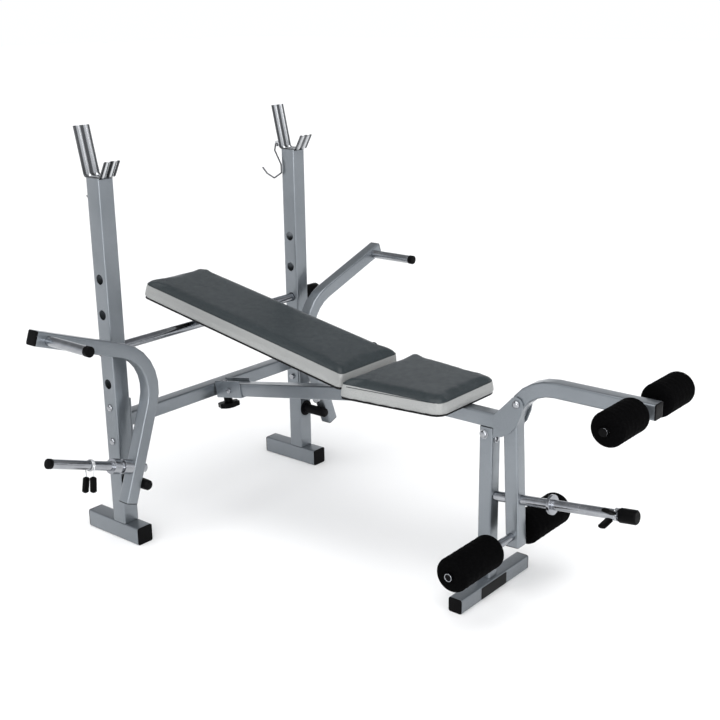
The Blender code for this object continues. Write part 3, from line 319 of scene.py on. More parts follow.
def two_tone_vinyl(name, border, slope):
    """Charcoal vinyl over the top and pale grey vinyl round the side.

    They part at the height border where y is 0, and slope is how much it rises along y."""
    f = Finish(name, Specular_IOR_Level=0.42, Coat_Weight=0.18, Coat_Roughness=0.30)
    creases = leather_grain(f)
    line = f.combine(f.combine(f.axis("Y"), slope, "MULTIPLY"), border)
    above = f.span(f.combine(f.axis("Z"), line, "SUBTRACT"), 0, 1, -0.0004, 0.0004)
    cloud = f.span(f.noise(9.0, 4.0), 0, 1, 0.35, 0.65)
    dark = f.mix(cloud, (0.0075, 0.0150, 0.0185), (0.0115, 0.0200, 0.0240))
    # Painted shade: both colours are darker in the grain's creases
    dark = f.mix(creases, (0.0045, 0.0090, 0.0110), dark)
    pale = f.mix(cloud, (0.285, 0.290, 0.285), (0.325, 0.330, 0.323))
    pale = f.mix(creases, (0.245, 0.250, 0.248), pale)
    rough = f.span(f.noise(70.0, 4.0), 0.40, 0.50, 0.3, 0.7)
    return f.paint(f.mix(above, pale, dark), rough)


def lining():
    """Black non-woven dust cloth under a pad."""
    f = Finish("dust_cloth", Specular_IOR_Level=0.2)
    warp = f.noise(1.0, 2.0, f.stretched((2400, 240, 2400)))
    weft = f.noise(1.0, 2.0, f.stretched((240, 2400, 2400)))
    weave = f.combine(warp, weft)
    f.bump(weave, 0.0003)
    lit = f.span(weave, 0, 1, 0.8, 1.2)
    return f.paint(f.mix(lit, (0.004, 0.004, 0.004), (0.014, 0.014, 0.015)), 0.9)


def thread():
    """Dark twisted sewing thread."""
    f = Finish("seam_thread", Specular_IOR_Level=0.3)
    twist = f.noise(900.0, 1.0)
    f.bump(twist, 0.0002)
    return f.paint(f.mix(twist, (0.010, 0.014, 0.016), (0.030, 0.036, 0.040)), 0.6)


def label_film():
    """A plain black sticker."""
    f = Finish("label_film", Specular_IOR_Level=0.12)
    f.bump(f.noise(120.0, 2.0), 0.00005)
    colour = f.mix(f.noise(30.0), (0.002, 0.002, 0.0022), (0.005, 0.005, 0.0055))
    return f.paint(colour, 0.45)


def ribbed_zinc():
    """Plated strip with painted shade: its two pressed ribs stay bright and the grooves beside them
    are painted dark.
    """
    f = Finish("ribbed_zinc", Metallic=1.0)
    from_middle = f.magnitude(f.combine(f.magnitude(f.axis("X")), UPRIGHT_X, "SUBTRACT"))
    from_rib = f.magnitude(f.combine(from_middle, REST_RIB, "SUBTRACT"))
    lines = f.noise(1.0, 3.0, f.stretched((900, 30, 9)))
    # Painted shade: dark in the grooves beside the ribs
    groove = f.span(from_rib, 0, 1, 0.0048, 0.0070)
    plate = f.mix(lines, (0.52, 0.53, 0.55), (0.62, 0.63, 0.64))
    colour = f.mix(groove, plate, (0.110, 0.113, 0.118))
    f.bump(lines, 0.00001)
    return f.paint(colour, f.span(lines, 0.20, 0.32, 0.3, 0.7))


def floor_paint():
    """Matt near-white paint."""
    f = Finish("pale_floor", Specular_IOR_Level=0.1)
    return f.paint(f.mix(f.noise(1.5, 3.0), (0.90, 0.90, 0.90), (0.93, 0.93, 0.93)), 0.9)


# The scale of a plating's lines along x, y and z
ALONG_X = (6.0, 900.0, 900.0)
ALONG_Z = (260, 260, 9)
FINE = (700.0, 700.0, 700.0)
PAINT = powder_coat()
CHROME = plating("chrome_plate", (0.27, 0.28, 0.30), (0.42, 0.43, 0.45), (0.14, 0.22), FINE)
BAR_CHROME = plating("drawn_chrome", (0.20, 0.21, 0.23), (0.42, 0.43, 0.45), (0.12, 0.22), ALONG_X)
ZINC = plating("bright_zinc", (0.50, 0.51, 0.53), (0.62, 0.63, 0.64), (0.20, 0.30), ALONG_Z)
RIBBED_ZINC = ribbed_zinc()
HOOK_WIRE = plating("dark_wire", (0.06, 0.06, 0.065), (0.13, 0.13, 0.14), (0.30, 0.40), FINE)
BLACK_METAL = moulded(
    "black_steel", (0.002, 0.002, 0.0024), (0.007, 0.007, 0.008), (0.32, 0.42), 700.0
)
PLASTIC = moulded(
    "black_plastic", (0.001, 0.001, 0.0011), (0.0035, 0.0035, 0.004), (0.36, 0.50), 1100.0
)
# Black rubber for the clips' paddles, also used for the dark sheets that paint the shade on the bar
# rests' floors
GRIP_AND_SHADE_BLACK = moulded(
    "grip_and_shade_black", (0.001, 0.001, 0.001), (0.003, 0.003, 0.003), (0.45, 0.60), 900.0
)
FOAM = sponge()
DUST_CLOTH = lining()
THREAD = thread()
LABEL = label_film()
SLOT_FINISH = {
    "silver_paint": PAINT,
    "chrome": CHROME,
    "zinc": ZINC,
    "black_metal": BLACK_METAL,
    "black_plastic": PLASTIC,
    "black_foam": FOAM,
    "black_board": DUST_CLOTH,
    "black_vinyl": DUST_CLOTH,
}


# Mesh tools


def add_piece(name, mesh, material, body, matrix=None, smooth=math.radians(38)):
    """A piece that rides on body, takes the material given, and is smooth up to an angle."""
    mesh.shade_smooth()
    mesh.set_sharp_from_angle(angle=smooth)
    mesh.materials.clear()
    mesh.materials.append(material)
    obj = bpy.data.objects.new(name, mesh)
    bpy.context.scene.collection.objects.link(obj)
    if matrix:
        obj.matrix_world = matrix
    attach(obj, body)
    return obj


def mesh_of(shape, name):
    """A mesh made from a bmesh, with its faces turned outwards."""
    mesh = bpy.data.meshes.new(name)
    bmesh.ops.recalc_face_normals(shape, faces=shape.faces)
    shape.to_mesh(mesh)
    shape.free()
    return mesh


def loft(rings, closed=True):
    """A skin through rings of points, capped at both ends when closed."""
    shape = bmesh.new()
    loops = [[shape.verts.new(point) for point in points] for points in rings]
    for low, high in zip(loops, loops[1:]):
        for i in range(len(low)):
            j = (i + 1) % len(low)
            shape.faces.new((low[i], low[j], high[j], high[i]))
    if closed:
        shape.faces.new(loops[0])
        shape.faces.new(loops[-1])
    return shape


def frame_at(place, direction, across):
    """A matrix at place whose X is across and whose Z is direction."""
    up = Vector(direction).cross(across)
    return Matrix.Translation(place) @ Matrix((across, up, direction)).transposed().to_4x4()


def ring(frame_here, radius, along, sides):
    """Points round the frame's Z, a distance along it."""
    turns = [2 * math.pi * i / sides for i in range(sides)]
    return [frame_here @ Vector((radius * math.cos(t), radius * math.sin(t), along)) for t in turns]


def turned(profile, frame_here, sides=40):
    """A solid turned about the frame's Z. profile lists (distance along, radius)."""
    return loft([ring(frame_here, radius, along, sides) for along, radius in profile])


def rounded(profile, radius):
    """The profile with each corner between its ends cut to an arc."""
    steps = 4
    points = [Vector((along, r)) for along, r in profile]
    result = [profile[0]]
    for before, corner, after in zip(points, points[1:], points[2:]):
        into = (before - corner).normalized()
        out = (after - corner).normalized()
        reach = min(radius, (before - corner).length * 0.48, (after - corner).length * 0.48)
        start, end = corner + into * reach, corner + out * reach
        for i in range(steps + 1):
            t = i / steps
            place = start * (1 - t) ** 2 + corner * 2 * t * (1 - t) + end * t**2
            result.append((place.x, place.y))
    return result + [profile[-1]]


def rounded_square(half, corner):
    """The outline of a square that reaches half each way, with round corners."""
    steps = 5
    points = []
    for quarter in range(4):
        turn = math.radians(90 * quarter)
        reach = (half - corner) * math.sqrt(2)
        middle = Vector((math.cos(turn + math.pi / 4), math.sin(turn + math.pi / 4))) * reach
        for step in range(steps + 1):
            angle = turn + math.radians(90) * step / steps
            points.append(middle + Vector((math.cos(angle), math.sin(angle))) * corner)
    return points


def wire_mesh(name, points, radius, cyclic=False, resolution=4):
    """A round wire through points."""
    curve = bpy.data.curves.new(name, "CURVE")
    curve.dimensions = "3D"
    curve.bevel_depth = radius
    curve.bevel_resolution = resolution
    curve.use_fill_caps = True
    spline = curve.splines.new("POLY")
    spline.points.add(len(points) - 1)
    spline.use_cyclic_u = cyclic
    for point, place in zip(spline.points, points):
        point.co = (*place, 1)
    guide = bpy.data.objects.new(name + "_guide", curve)
    mesh = bpy.data.meshes.new_from_object(guide)
    bpy.data.objects.remove(guide)
    return mesh


def smooth_path(points, steps):
    """A Catmull-Rom path through points."""
    ends = [points[0] * 2 - points[1], *points, points[-1] * 2 - points[-2]]
    path = []
    for a, b, c, d in zip(ends, ends[1:], ends[2:], ends[3:]):
        for i in range(steps):
            t = i / steps
            turn = (c - a) * t + (a * 2 - b * 5 + c * 4 - d) * t**2 + (b * 3 - a - c * 3 + d) * t**3
            path.append(b + turn * 0.5)
    return path + [points[-1]]


def rounded_route(points, radius):
    """(place, direction) along a path through points, with its corners bent to radius."""
    steps = 5
    route = [(points[0], (points[1] - points[0]).normalized())]
    for before, corner, after in zip(points, points[1:], points[2:]):
        into = (corner - before).normalized()
        out = (after - corner).normalized()
        turn = into.angle(out)
        side = (out - into * into.dot(out)).normalized()
        centre = corner - into * radius * math.tan(turn / 2) + side * radius
        for step in range(steps + 1):
            angle = turn * step / steps
            direction = into * math.cos(angle) + side * math.sin(angle)
            place = centre + (into * math.sin(angle) - side * math.cos(angle)) * radius
            route.append((place, direction))
    route.append((points[-1], (points[-1] - points[-2]).normalized()))
    return route


def middle_of(node):
    """The middle of a CAD node's box."""
    low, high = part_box(node)
    return (low + high) / 2


# Carried-over nodes


def dress_nodes():
    """Gives each CAD node its finish, and shades it smooth with fine rounded edges."""
    bars = ("support_bar", "upper_roller_bar", "lower_roller_bar")
    for name, node in NODES.items():
        finish = SLOT_FINISH[node.data.materials[0].name.split(".")[0]]
        if name in bars:
            finish = BAR_CHROME
        elif name.startswith("bar_hook"):
            finish = HOOK_WIRE
        node.data.materials[0] = finish
        if "custom_normal" in node.data.attributes:
            node.data.attributes.remove(node.data.attributes["custom_normal"])
        node.data.shade_smooth()
        weld = node.modifiers.new("Weld", "WELD")
        weld.merge_threshold = SAME_POINT
        bevel = node.modifiers.new("Bevel", "BEVEL")
        bevel.width = 0.0006
        bevel.segments = 2
        bevel.limit_method = "ANGLE"
        bevel.angle_limit = math.radians(50)
        bevel.use_clamp_overlap = True
        normals = node.modifiers.new("WeightedNormal", "WEIGHTED_NORMAL")
        normals.keep_sharp = True


# Pads


def swollen_places(obj, rest, held):
    """Where air pressure pushes the cover's points to. The points in held stay put."""
    obj.vertex_groups.new(name="held").add(held, 1.0, "REPLACE")
    cloth = obj.modifiers.new("Cloth", "CLOTH")
    cloth.settings.quality = 5
    cloth.settings.mass = 0.25
    cloth.settings.tension_stiffness = 14
    cloth.settings.compression_stiffness = 14
    cloth.settings.bending_stiffness = 1.2
    cloth.settings.use_pressure = True
    cloth.settings.uniform_pressure_force = PRESSURE
    cloth.settings.effector_weights.gravity = 0
    cloth.settings.vertex_group_mass = "held"
    cloth.point_cache.frame_start = 1
    cloth.point_cache.frame_end = SIM_FRAMES
    for number in range(1, SIM_FRAMES + 1):
        bpy.context.scene.frame_set(number)
    swollen = obj.evaluated_get(bpy.context.evaluated_depsgraph_get())
    places = []
    for before, vert in zip(rest, swollen.to_mesh().vertices):
        move = vert.co - before
        if move.length > SWELL_CAP:
            move *= SWELL_CAP / move.length
        places.append(before + move)
    swollen.to_mesh_clear()
    obj.modifiers.clear()
    bpy.context.scene.frame_set(1)
    return places


def inflate(mesh, floor_z):
    """A pad's cover, swollen by air pressure, and held where it is stapled to its board."""
    obj = bpy.data.objects.new("pad_sim", mesh)
    bpy.context.scene.collection.objects.link(obj)
    for vert in mesh.vertices:
        vert.co.x *= COVER_NARROWED
    remesh = obj.modifiers.new("Remesh", "REMESH")
    remesh.mode = "VOXEL"
    remesh.voxel_size = VOXEL
    depsgraph = bpy.context.evaluated_depsgraph_get()
    fine = bpy.data.meshes.new_from_object(obj.evaluated_get(depsgraph))
    obj.modifiers.clear()
    obj.data = fine
    rest = [vert.co.copy() for vert in fine.vertices]
    held = [i for i, place in enumerate(rest) if place.z < floor_z + STAPLED_HEIGHT]
    for vert, place in zip(fine.vertices, swollen_places(obj, rest, held)):
        vert.co = place
    smooth = obj.modifiers.new("Smooth", "CORRECTIVE_SMOOTH")
    smooth.iterations = 3
    smooth.use_only_smooth = True
    finer = obj.modifiers.new("Subdivision", "SUBSURF")
    finer.levels = 1
    depsgraph = bpy.context.evaluated_depsgraph_get()
    result = bpy.data.meshes.new_from_object(obj.evaluated_get(depsgraph))
    bpy.data.objects.remove(obj)
    result.name = "pad_cover"
    return result


def squashed(node, to_local, low, high):
    """A node's mesh in the pad's own frame. Its underside moves to low and the rest of it to
    high, where they are given."""
    mesh = NODES[node].data.copy()
    mesh.transform(to_local)
    shape = bmesh.new()
    shape.from_mesh(mesh)
    bmesh.ops.remove_doubles(shape, verts=shape.verts, dist=SAME_POINT)
    bmesh.ops.recalc_face_normals(shape, faces=shape.faces)
    bottom = min(vert.co.z for vert in shape.verts)
    for vert in shape.verts:
        if low is not None and vert.co.z < bottom + 0.0005:
            vert.co.z = low
        elif high is not None:
            vert.co.z = high
    shape.to_mesh(mesh)
    shape.free()
    return mesh


def crown(mesh):
    """Lowers a pad's top towards its edges, so that the foam's middle stands proud."""
    top = max(vert.co.z for vert in mesh.vertices)
    low_y = min(vert.co.y for vert in mesh.vertices)
    high_y = max(vert.co.y for vert in mesh.vertices)
    row_length = 0.01
    widths = {}
    for vert in mesh.vertices:
        row = round(vert.co.y / row_length)
        widths[row] = max(widths.get(row, 0.0), abs(vert.co.x))
    floor_z = min(vert.co.z for vert in mesh.vertices)
    for vert in mesh.vertices:
        place = vert.co
        from_side = widths[round(place.y / row_length)] - abs(place.x)
        from_end = min(place.y - low_y, high_y - place.y)
        near = sum(max(0.0, 1 - max(0.0, away) / CROWN_REACH) ** 2 for away in (from_side, from_end))
        height = (place.z - floor_z) / (top - floor_z)
        place.z -= CROWN_DROP * min(1.0, near) * max(0.0, height - 0.5) * 2


def outline_points(mesh, border, slope):
    """Points on the cover round the line where its two colours meet."""
    shape = bmesh.new()
    shape.from_mesh(mesh)
    tree = BVHTree.FromBMesh(shape)
    xs = [vert.co.x for vert in shape.verts]
    ys = [vert.co.y for vert in shape.verts]
    shape.free()
    middle = Vector(((min(xs) + max(xs)) / 2, (min(ys) + max(ys)) / 2, 0))
    reach = Vector(((max(xs) - min(xs)) / 2, (max(ys) - min(ys)) / 2)) * 1.2
    # Each ray starts outside the cover, and runs nearly square to the side that it meets
    points = []
    count = int(4 * (reach.x + reach.y) / SEAM_SPACING)
    for i in range(count):
        angle = 2 * math.pi * i / count
        across, along = math.cos(angle), math.sin(angle)
        square = max(abs(across), abs(along))
        start = middle + Vector((reach.x * across / square, reach.y * along / square, 0))
        opposite = (start.x, middle.y, 0) if abs(across) < abs(along) else (middle.x, start.y, 0)
        aim = middle.lerp(Vector(opposite), 0.9)
        start.z = aim.z = border + slope * start.y
        hit = tree.ray_cast(start, (aim - start).normalized())[0]
        if hit:
            points.append(hit)
    return points


def make_pad(name, cushion, board, body, matrix):
    """A vinyl-covered pad with its two-tone cover, its seam and the dust cloth under it."""
    to_local = matrix.inverted()
    base = squashed(board, to_local, None, None)
    floor_z = min(vert.co.z for vert in base.vertices)
    base_top = floor_z + BASE_SHOWS
    base = squashed(board, to_local, floor_z, base_top)
    lining_piece = add_piece(name + "_dust_cloth", base, DUST_CLOTH, body, matrix)
    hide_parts(board)

    cover = squashed(cushion, to_local, base_top + COVER_LIFT, None)
    tops = [(vert.co.y, vert.co.z) for vert in cover.vertices if vert.co.z > base_top + 0.001]
    near_y, far_y = min(tops)[0], max(tops)[0]
    end_length = 0.03
    near_z = max(z for y, z in tops if y < near_y + end_length)
    far_z = max(z for y, z in tops if y > far_y - end_length)
    slope = (far_z - near_z) / (far_y - near_y)
    border = near_z - slope * near_y - TOP_ROUNDING
    cover = inflate(cover, base_top + COVER_LIFT)
    crown(cover)
    vinyl = two_tone_vinyl(name + "_vinyl", border, slope)
    pad = add_piece(name + "_pad", cover, vinyl, body, matrix, math.radians(80))
    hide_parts(cushion)
    points = outline_points(pad.data, border, slope)
    seam = wire_mesh(name + "_seam", points, SEAM_RADIUS, True, 2)
    add_piece(name + "_seam", seam, THREAD, body, matrix)


def make_pads():
    """The seat's pad, and the backrest's, which is made level and then tilted about its hinge."""
    low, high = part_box("seat_board")
    seat = Matrix.Translation(Vector((0, (low.y + high.y) / 2, low.z)))
    make_pad("seat", "seat_cushion", "seat_board", "frame", seat)
    hinge = Vector(JOINTS["backrest_tilt"]["pos_m"])
    backrest = Matrix.Translation(hinge) @ Matrix.Rotation(BACKREST_TILT, 4, "X")
    make_pad("backrest", "backrest_cushion", "backrest_board", "backrest", backrest)


# Foam rollers


def roller_outline(half, radius):
    """(distance along, radius) down a roller's outside, with round ends and a faint ripple."""
    arc_steps, belly_steps = 8, 18
    start = -half + ROLLER_ROUNDING
    outline = [(-half, ROLLER_BORE), (-half, radius - ROLLER_ROUNDING)]
    for step in range(1, arc_steps + 1):
        angle = math.radians(90) * step / arc_steps
        along = start - ROLLER_ROUNDING * math.cos(angle)
        outline.append((along, radius - ROLLER_ROUNDING + ROLLER_ROUNDING * math.sin(angle)))
    end = [(-along, r) for along, r in reversed(outline)]
    for step in range(1, belly_steps):
        along = start * (1 - 2 * step / belly_steps)
        outline.append((along, radius - ROLLER_RIPPLE * (1 + math.sin(step * 2.1))))
    return outline + end


def make_rollers():
    """Four foam sleeves, with a surface that is a little uneven."""
    sides = 56
    for level in ("upper", "lower"):
        for side, _ in SIDES:
            name = "%s_roller_%s" % (level, side)
            low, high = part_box(name)
            half, radius = (high.x - low.x) / 2, (high.z - low.z) / 2
            here = frame_at((low + high) / 2, X_AXIS, Y_AXIS)
            rings = [ring(here, r, along, sides) for along, r in roller_outline(half, radius)]
            rings += [ring(here, ROLLER_BORE, along, sides) for along in (half, -half)]
            shape = loft(rings, closed=False)
            bmesh.ops.remove_doubles(shape, verts=shape.verts, dist=SAME_POINT)
            for vert in shape.verts:
                away = vert.co - (low + high) / 2
                away.x = 0
                if away.length > ROLLER_CORE:
                    vert.co -= away.normalized() * random.random() * ROLLER_ROUGHNESS
            piece = add_piece(name + "_foam", mesh_of(shape, name), FOAM, name)
            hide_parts(name)


# Tube ends


def end_plug(name, place, outward, across, body):
    """A moulded plug: a stem in the tube, and a thin domed flange over its end."""
    here = frame_at(place, outward, across)
    half = TUBE / 2
    stem = half - WALL - 0.0003
    stations = (
        (-PLUG_STEM, stem, TUBE_CORNER - WALL),
        (CONTACT_GAP, stem, TUBE_CORNER - WALL),
        (CONTACT_GAP, half - 0.0002, TUBE_CORNER),
        (0.0014, half - 0.0002, TUBE_CORNER),
        (0.0022, half - 0.0009, TUBE_CORNER),
        (0.0026, half - 0.0025, TUBE_CORNER),
        (0.0028, half - 0.0070, TUBE_CORNER),
    )
    rings = [
        [here @ Vector((point.x, point.y, along)) for point in rounded_square(reach, corner)]
        for along, reach, corner in stations
    ]
    return add_piece(name, mesh_of(loft(rings), name), PLASTIC, body)


def arm_directions(side):
    """The ways that an arm's upper run points outwards and its lower run points down."""
    outward = Vector((side * math.cos(ARM_TILT), 0, math.sin(ARM_TILT)))
    return outward, Vector((side * math.sin(ARM_TILT), 0, -math.cos(ARM_TILT)))


def make_tube_ends():
    """The plugs in the ends of the leg lever and of both arms."""
    half = TUBE / 2
    low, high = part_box("leg_lever")
    nose = Vector((0, low.y, high.z - half))
    end_plug("lever_nose_plug", nose, -Y_AXIS, X_AXIS, "leg_lever")
    foot_y = middle_of("lower_roller_bar").y - LEVER_FOOT_SHIFT
    down = Vector((0, -math.sin(LEVER_LEAN), -math.cos(LEVER_LEAN)))
    foot = Vector((0, foot_y, low.z + half * math.sin(LEVER_LEAN)))
    end_plug("lever_foot_plug", foot, down, X_AXIS, "leg_lever")
    for name, side in SIDES:
        low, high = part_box("side_arm_" + name)
        y = (low.y + high.y) / 2
        outward, down = arm_directions(side)
        top_x = side * (max(abs(low.x), abs(high.x)) - half * math.sin(ARM_TILT))
        top = Vector((top_x, y, high.z - half * math.cos(ARM_TILT)))
        end_plug("arm_top_plug_" + name, top, outward, Y_AXIS, "arm_" + name)
        elbow = top - outward * ARM_UPPER
        end_plug("arm_low_plug_" + name, elbow + down * ARM_LOWER, down, Y_AXIS, "arm_" + name)


# Bar ends, knobs and caps


def bar_cap(name, place, outward, across, body, length):
    """A push-on cap over a bar's end."""
    here = frame_at(place, outward, across)
    inner, outer = BAR_RADIUS + CONTACT_GAP, BAR_RADIUS + 0.0009
    profile = [(-length, inner), (-length, outer), (0.0020, outer), (0.0024, 0.001)]
    mesh = mesh_of(turned(rounded(profile, 0.0016), here), name)
    return add_piece(name, mesh, PLASTIC, body)


def inset_plug(name, place, outward, across, body, radius):
    """A plug pushed into a tubular bar's end, with a thin flange no wider than the bar."""
    bore, flange = radius - WALL - 0.0002, radius - CONTACT_GAP
    profile = [(-PLUG_STEM, bore), (CONTACT_GAP, bore), (CONTACT_GAP, flange)]
    profile += [(0.0010, flange - 0.0003), (0.0016, flange - 0.0035)]
    mesh = mesh_of(turned(profile, frame_at(place, outward, across), 32), name)
    return add_piece(name, mesh, PLASTIC, body)


def make_roller_plugs():
    """The plugs in the roller bars' ends. The lower ones sit inside the tube."""
    for side, way in SIDES:
        for level in ("upper", "lower"):
            low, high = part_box(level + "_roller_bar")
            place = (low + high) / 2
            place.x = high.x if way > 0 else low.x
            name, radius = "%s_bar_plug_%s" % (level, side), (high.z - low.z) / 2
            if level == "upper":
                inset_plug(name, place, X_AXIS * way, Y_AXIS, "leg_lever", radius)
                continue
            bore = 0.0078
            profile = [(-PLUG_STEM, bore), (-0.0015, bore), (-0.0015, 0.0030), (-0.0028, 0.0010)]
            mesh = mesh_of(turned(profile, frame_at(place, X_AXIS * way, Y_AXIS), 24), name)
            add_piece(name, mesh, PLASTIC, "leg_lever")


def peg_tip(name, side):
    """The outer end of a weight peg, which is parallel to its arm's upper run."""
    low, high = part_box("weight_peg_" + name)
    x = side * (max(abs(low.x), abs(high.x)) - BAR_RADIUS * math.sin(ARM_TILT))
    z = high.z - BAR_RADIUS * math.cos(ARM_TILT)
    return Vector((x, middle_of("side_arm_" + name).y, z))


def make_bar_caps():
    """The caps of the hand bars and weight pegs, and the support bar's plug."""
    for name, side in SIDES:
        low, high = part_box("arm_handle_" + name)
        tip = Vector(((low.x + high.x) / 2, low.y, (low.z + high.z) / 2))
        bar_cap("handle_cap_" + name, tip, -Y_AXIS, X_AXIS, "arm_" + name, 0.012)
        outward = arm_directions(side)[0]
        bar_cap("peg_cap_" + name, peg_tip(name, side), outward, Y_AXIS, "arm_" + name, 0.009)
    low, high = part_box("support_bar")
    tip = Vector((low.x, (low.y + high.y) / 2, (low.z + high.z) / 2))
    inset_plug("support_bar_plug", tip, -X_AXIS, Y_AXIS, "support_bar", BAR_RADIUS)


def dome_bolt(name, place, outward, across, radius=0.0095):
    """A domed bolt head on a washer."""
    here = frame_at(place, outward, across)
    washer, under_head, head, steps = radius * 1.25, 0.0017, 0.0052, 7
    profile = [(CONTACT_GAP, washer), (under_head - 0.0001, washer), (under_head, radius)]
    for step in range(1, steps + 1):
        angle = math.radians(88) * step / steps
        profile.append((under_head + head * math.sin(angle), radius * math.cos(angle)))
    return add_piece(name, mesh_of(turned(profile, here, 32), name), CHROME, "frame")


def make_post_bolts():
    """The heads of the bolts at the top of the front post, on its two sides and its front."""
    low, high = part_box("front_post")
    cross_y, cross_z = (low.y + high.y) / 2 + 0.005, high.z - 0.0185
    dome_bolt("post_bolt_side", Vector((low.x, cross_y, cross_z)), -X_AXIS, Y_AXIS)
    dome_bolt("post_bolt_front", Vector((0, low.y, cross_z - 0.010)), -Y_AXIS, X_AXIS)
    dome_bolt("post_bolt_far", Vector((high.x, cross_y, cross_z)), X_AXIS, Y_AXIS, 0.0085)


def make_label():
    """A plain sticker on the front foot, where the real one carries a name."""
    low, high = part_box("front_foot")
    half = (high.z - low.z) / 2
    here = frame_at(Vector((-0.0095, low.y - 0.0002, low.z + half)), -Y_AXIS, X_AXIS)
    corner, corner_x, corner_y, thickness = 0.003, 0.0535, half - 0.0065, 0.0004
    points = []
    for quarter, (sx, sy) in enumerate(((1, 1), (-1, 1), (-1, -1), (1, -1))):
        for step in range(5):
            angle = math.radians(90) * (quarter + step / 4)
            x = sx * corner_x + corner * math.cos(angle)
            points.append((x, sy * corner_y + corner * math.sin(angle)))
    rings = [[here @ Vector((x, y, z)) for x, y in points] for z in (0.0, thickness)]
    add_piece("front_label", mesh_of(loft(rings), "front_label"), LABEL, "frame")


# Spring clips


def paddle_mesh(place, way, axis):
    """A moulded grip: an oval bar with rounded ends and shallow finger grooves."""
    here = frame_at(place, way, axis)
    rings = []
    count, sides = 44, 32
    grooves_start, grooves_end, groove_depth = 0.010, 0.036, 0.05
    for step in range(count + 1):
        along = PADDLE_LENGTH * (step / count)
        near_end = min(1.0, min(along, PADDLE_LENGTH - along) / PADDLE_NOSE)
        share = math.sqrt(max(0.0, 1 - (1 - near_end) ** 2)) * 0.7 + 0.3 * near_end
        share = max(share, 0.06)
        groove = 0.0
        if grooves_start < along < grooves_end:
            wave = math.cos(2 * math.pi * (along - grooves_start) / PADDLE_GROOVE_PITCH)
            groove = groove_depth * (0.5 - 0.5 * wave)
        oval = []
        for i in range(sides):
            angle = 2 * math.pi * i / sides
            x, y = math.cos(angle), math.sin(angle)
            x = math.copysign(abs(x) ** 0.8, x) * PADDLE_HALF_WIDTH * share
            y = math.copysign(abs(y) ** 0.8, y) * PADDLE_HALF_DEPTH * share * (1 - groove)
            oval.append(here @ Vector((x, y, along)))
        rings.append(oval)
    return mesh_of(loft(rings), "paddle")


def spring_clip(name, node, body, centre, axis, outward, gap, splay):
    """A coil of spring wire round a bar. Its two ends run out side by side to a paddle each.

    outward is the way the paddles point; gap is half the distance between their roots, and
    splay is how far each leans from outward."""
    tangent = axis.cross(outward)
    radius = BAR_RADIUS + CLIP_WIRE + 0.0005
    reach = math.hypot(PADDLE_START, gap)
    leave = math.atan2(gap, PADDLE_START) + math.acos(radius / reach)
    turn = 2 * math.pi * CLIP_TURNS + 2 * (math.pi - leave)
    half = CLIP_PITCH * turn / (4 * math.pi)
    steps = 90
    coil = []
    for i in range(steps + 1):
        t = i / steps
        angle = leave + turn * t
        spoke = outward * math.cos(angle) + tangent * math.sin(angle)
        coil.append(centre + spoke * radius - axis * half * (1 - 2 * t))
    ends = {}
    for number, way in enumerate((1, -1)):
        root = centre + axis * way * PADDLE_STAGGER + outward * PADDLE_START + tangent * way * gap
        lean = outward * math.cos(splay) + tangent * way * math.sin(splay)
        ends[way] = smooth_path([coil[0 if way > 0 else -1], root, root + lean * 0.02], 6)
        mesh = paddle_mesh(root, lean, axis)
        add_piece("%s_paddle_%d" % (name, number + 1), mesh, GRIP_AND_SHADE_BLACK, body)
    mesh = wire_mesh(name, ends[1][:0:-1] + coil + ends[-1][1:], CLIP_WIRE)
    wire = add_piece(name + "_wire", mesh, ZINC, body)
    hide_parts(node)


def make_clips():
    """The clips on both weight pegs, hanging down, and the one on the lever's peg."""
    for name, side in SIDES:
        outward, down = arm_directions(side)
        centre = peg_tip(name, side) - outward * SIDE_CLIP_FROM_TIP
        point = down * math.cos(SIDE_PADDLE_TURN) - Y_AXIS * math.sin(SIDE_PADDLE_TURN)
        place = ("peg_clip_" + name, "clip_" + name, centre, outward, point)
        spring_clip("peg_clip_%s_spring" % name, *place, SIDE_PADDLE_GAP, SIDE_PADDLE_SPLAY)
    axis = Vector(JOINTS["lever_clip_slide"]["axis"]).normalized()
    axis = axis if axis.y < 0 else -axis
    low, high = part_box("lever_peg_cap")
    cap_radius = (high.x - low.x) / 2
    cap_start = Vector((0, high.y - cap_radius * abs(axis.z), low.z + cap_radius * abs(axis.y)))
    centre = cap_start - axis * LEVER_CLIP_TO_CAP
    up = (Z_AXIS - axis * Z_AXIS.dot(axis)).normalized()
    point = up * math.sin(LEVER_PADDLE_RISE) - X_AXIS * math.cos(LEVER_PADDLE_RISE)
    place = ("lever_peg_clip", "lever_clip", centre, axis, point)
    spring_clip("lever_clip_spring", *place, LEVER_PADDLE_GAP, LEVER_PADDLE_SPLAY)


# Bar rests


def pressed_strip(route, x_low, x_high):
    """A strip along the route, with two lengthwise ribs and raised edges."""
    across = 36
    middle = (x_low + x_high) / 2
    rows = []
    for place, way in route:
        inward = -way.cross(X_AXIS).normalized()
        face, back = [], []
        for i in range(across + 1):
            x = x_low + (x_high - x_low) * i / across
            from_middle = abs(x - middle)
            from_rib = (from_middle - REST_RIB) / REST_RIB_HALF_WIDTH
            rise = REST_RIB_RISE * math.exp(-2 * from_rib**4) - REST_SUNK
            rise += REST_EDGE_RISE * max(0.0, from_middle - REST_EDGE_START) / REST_EDGE_WIDTH
            face.append(Vector((x, place.y, place.z)) + inward * (REST_SHEET + rise))
            back.append(Vector((x, place.y, place.z)) + inward * rise)
        rows.append(face + back[::-1])
    return loft(rows)


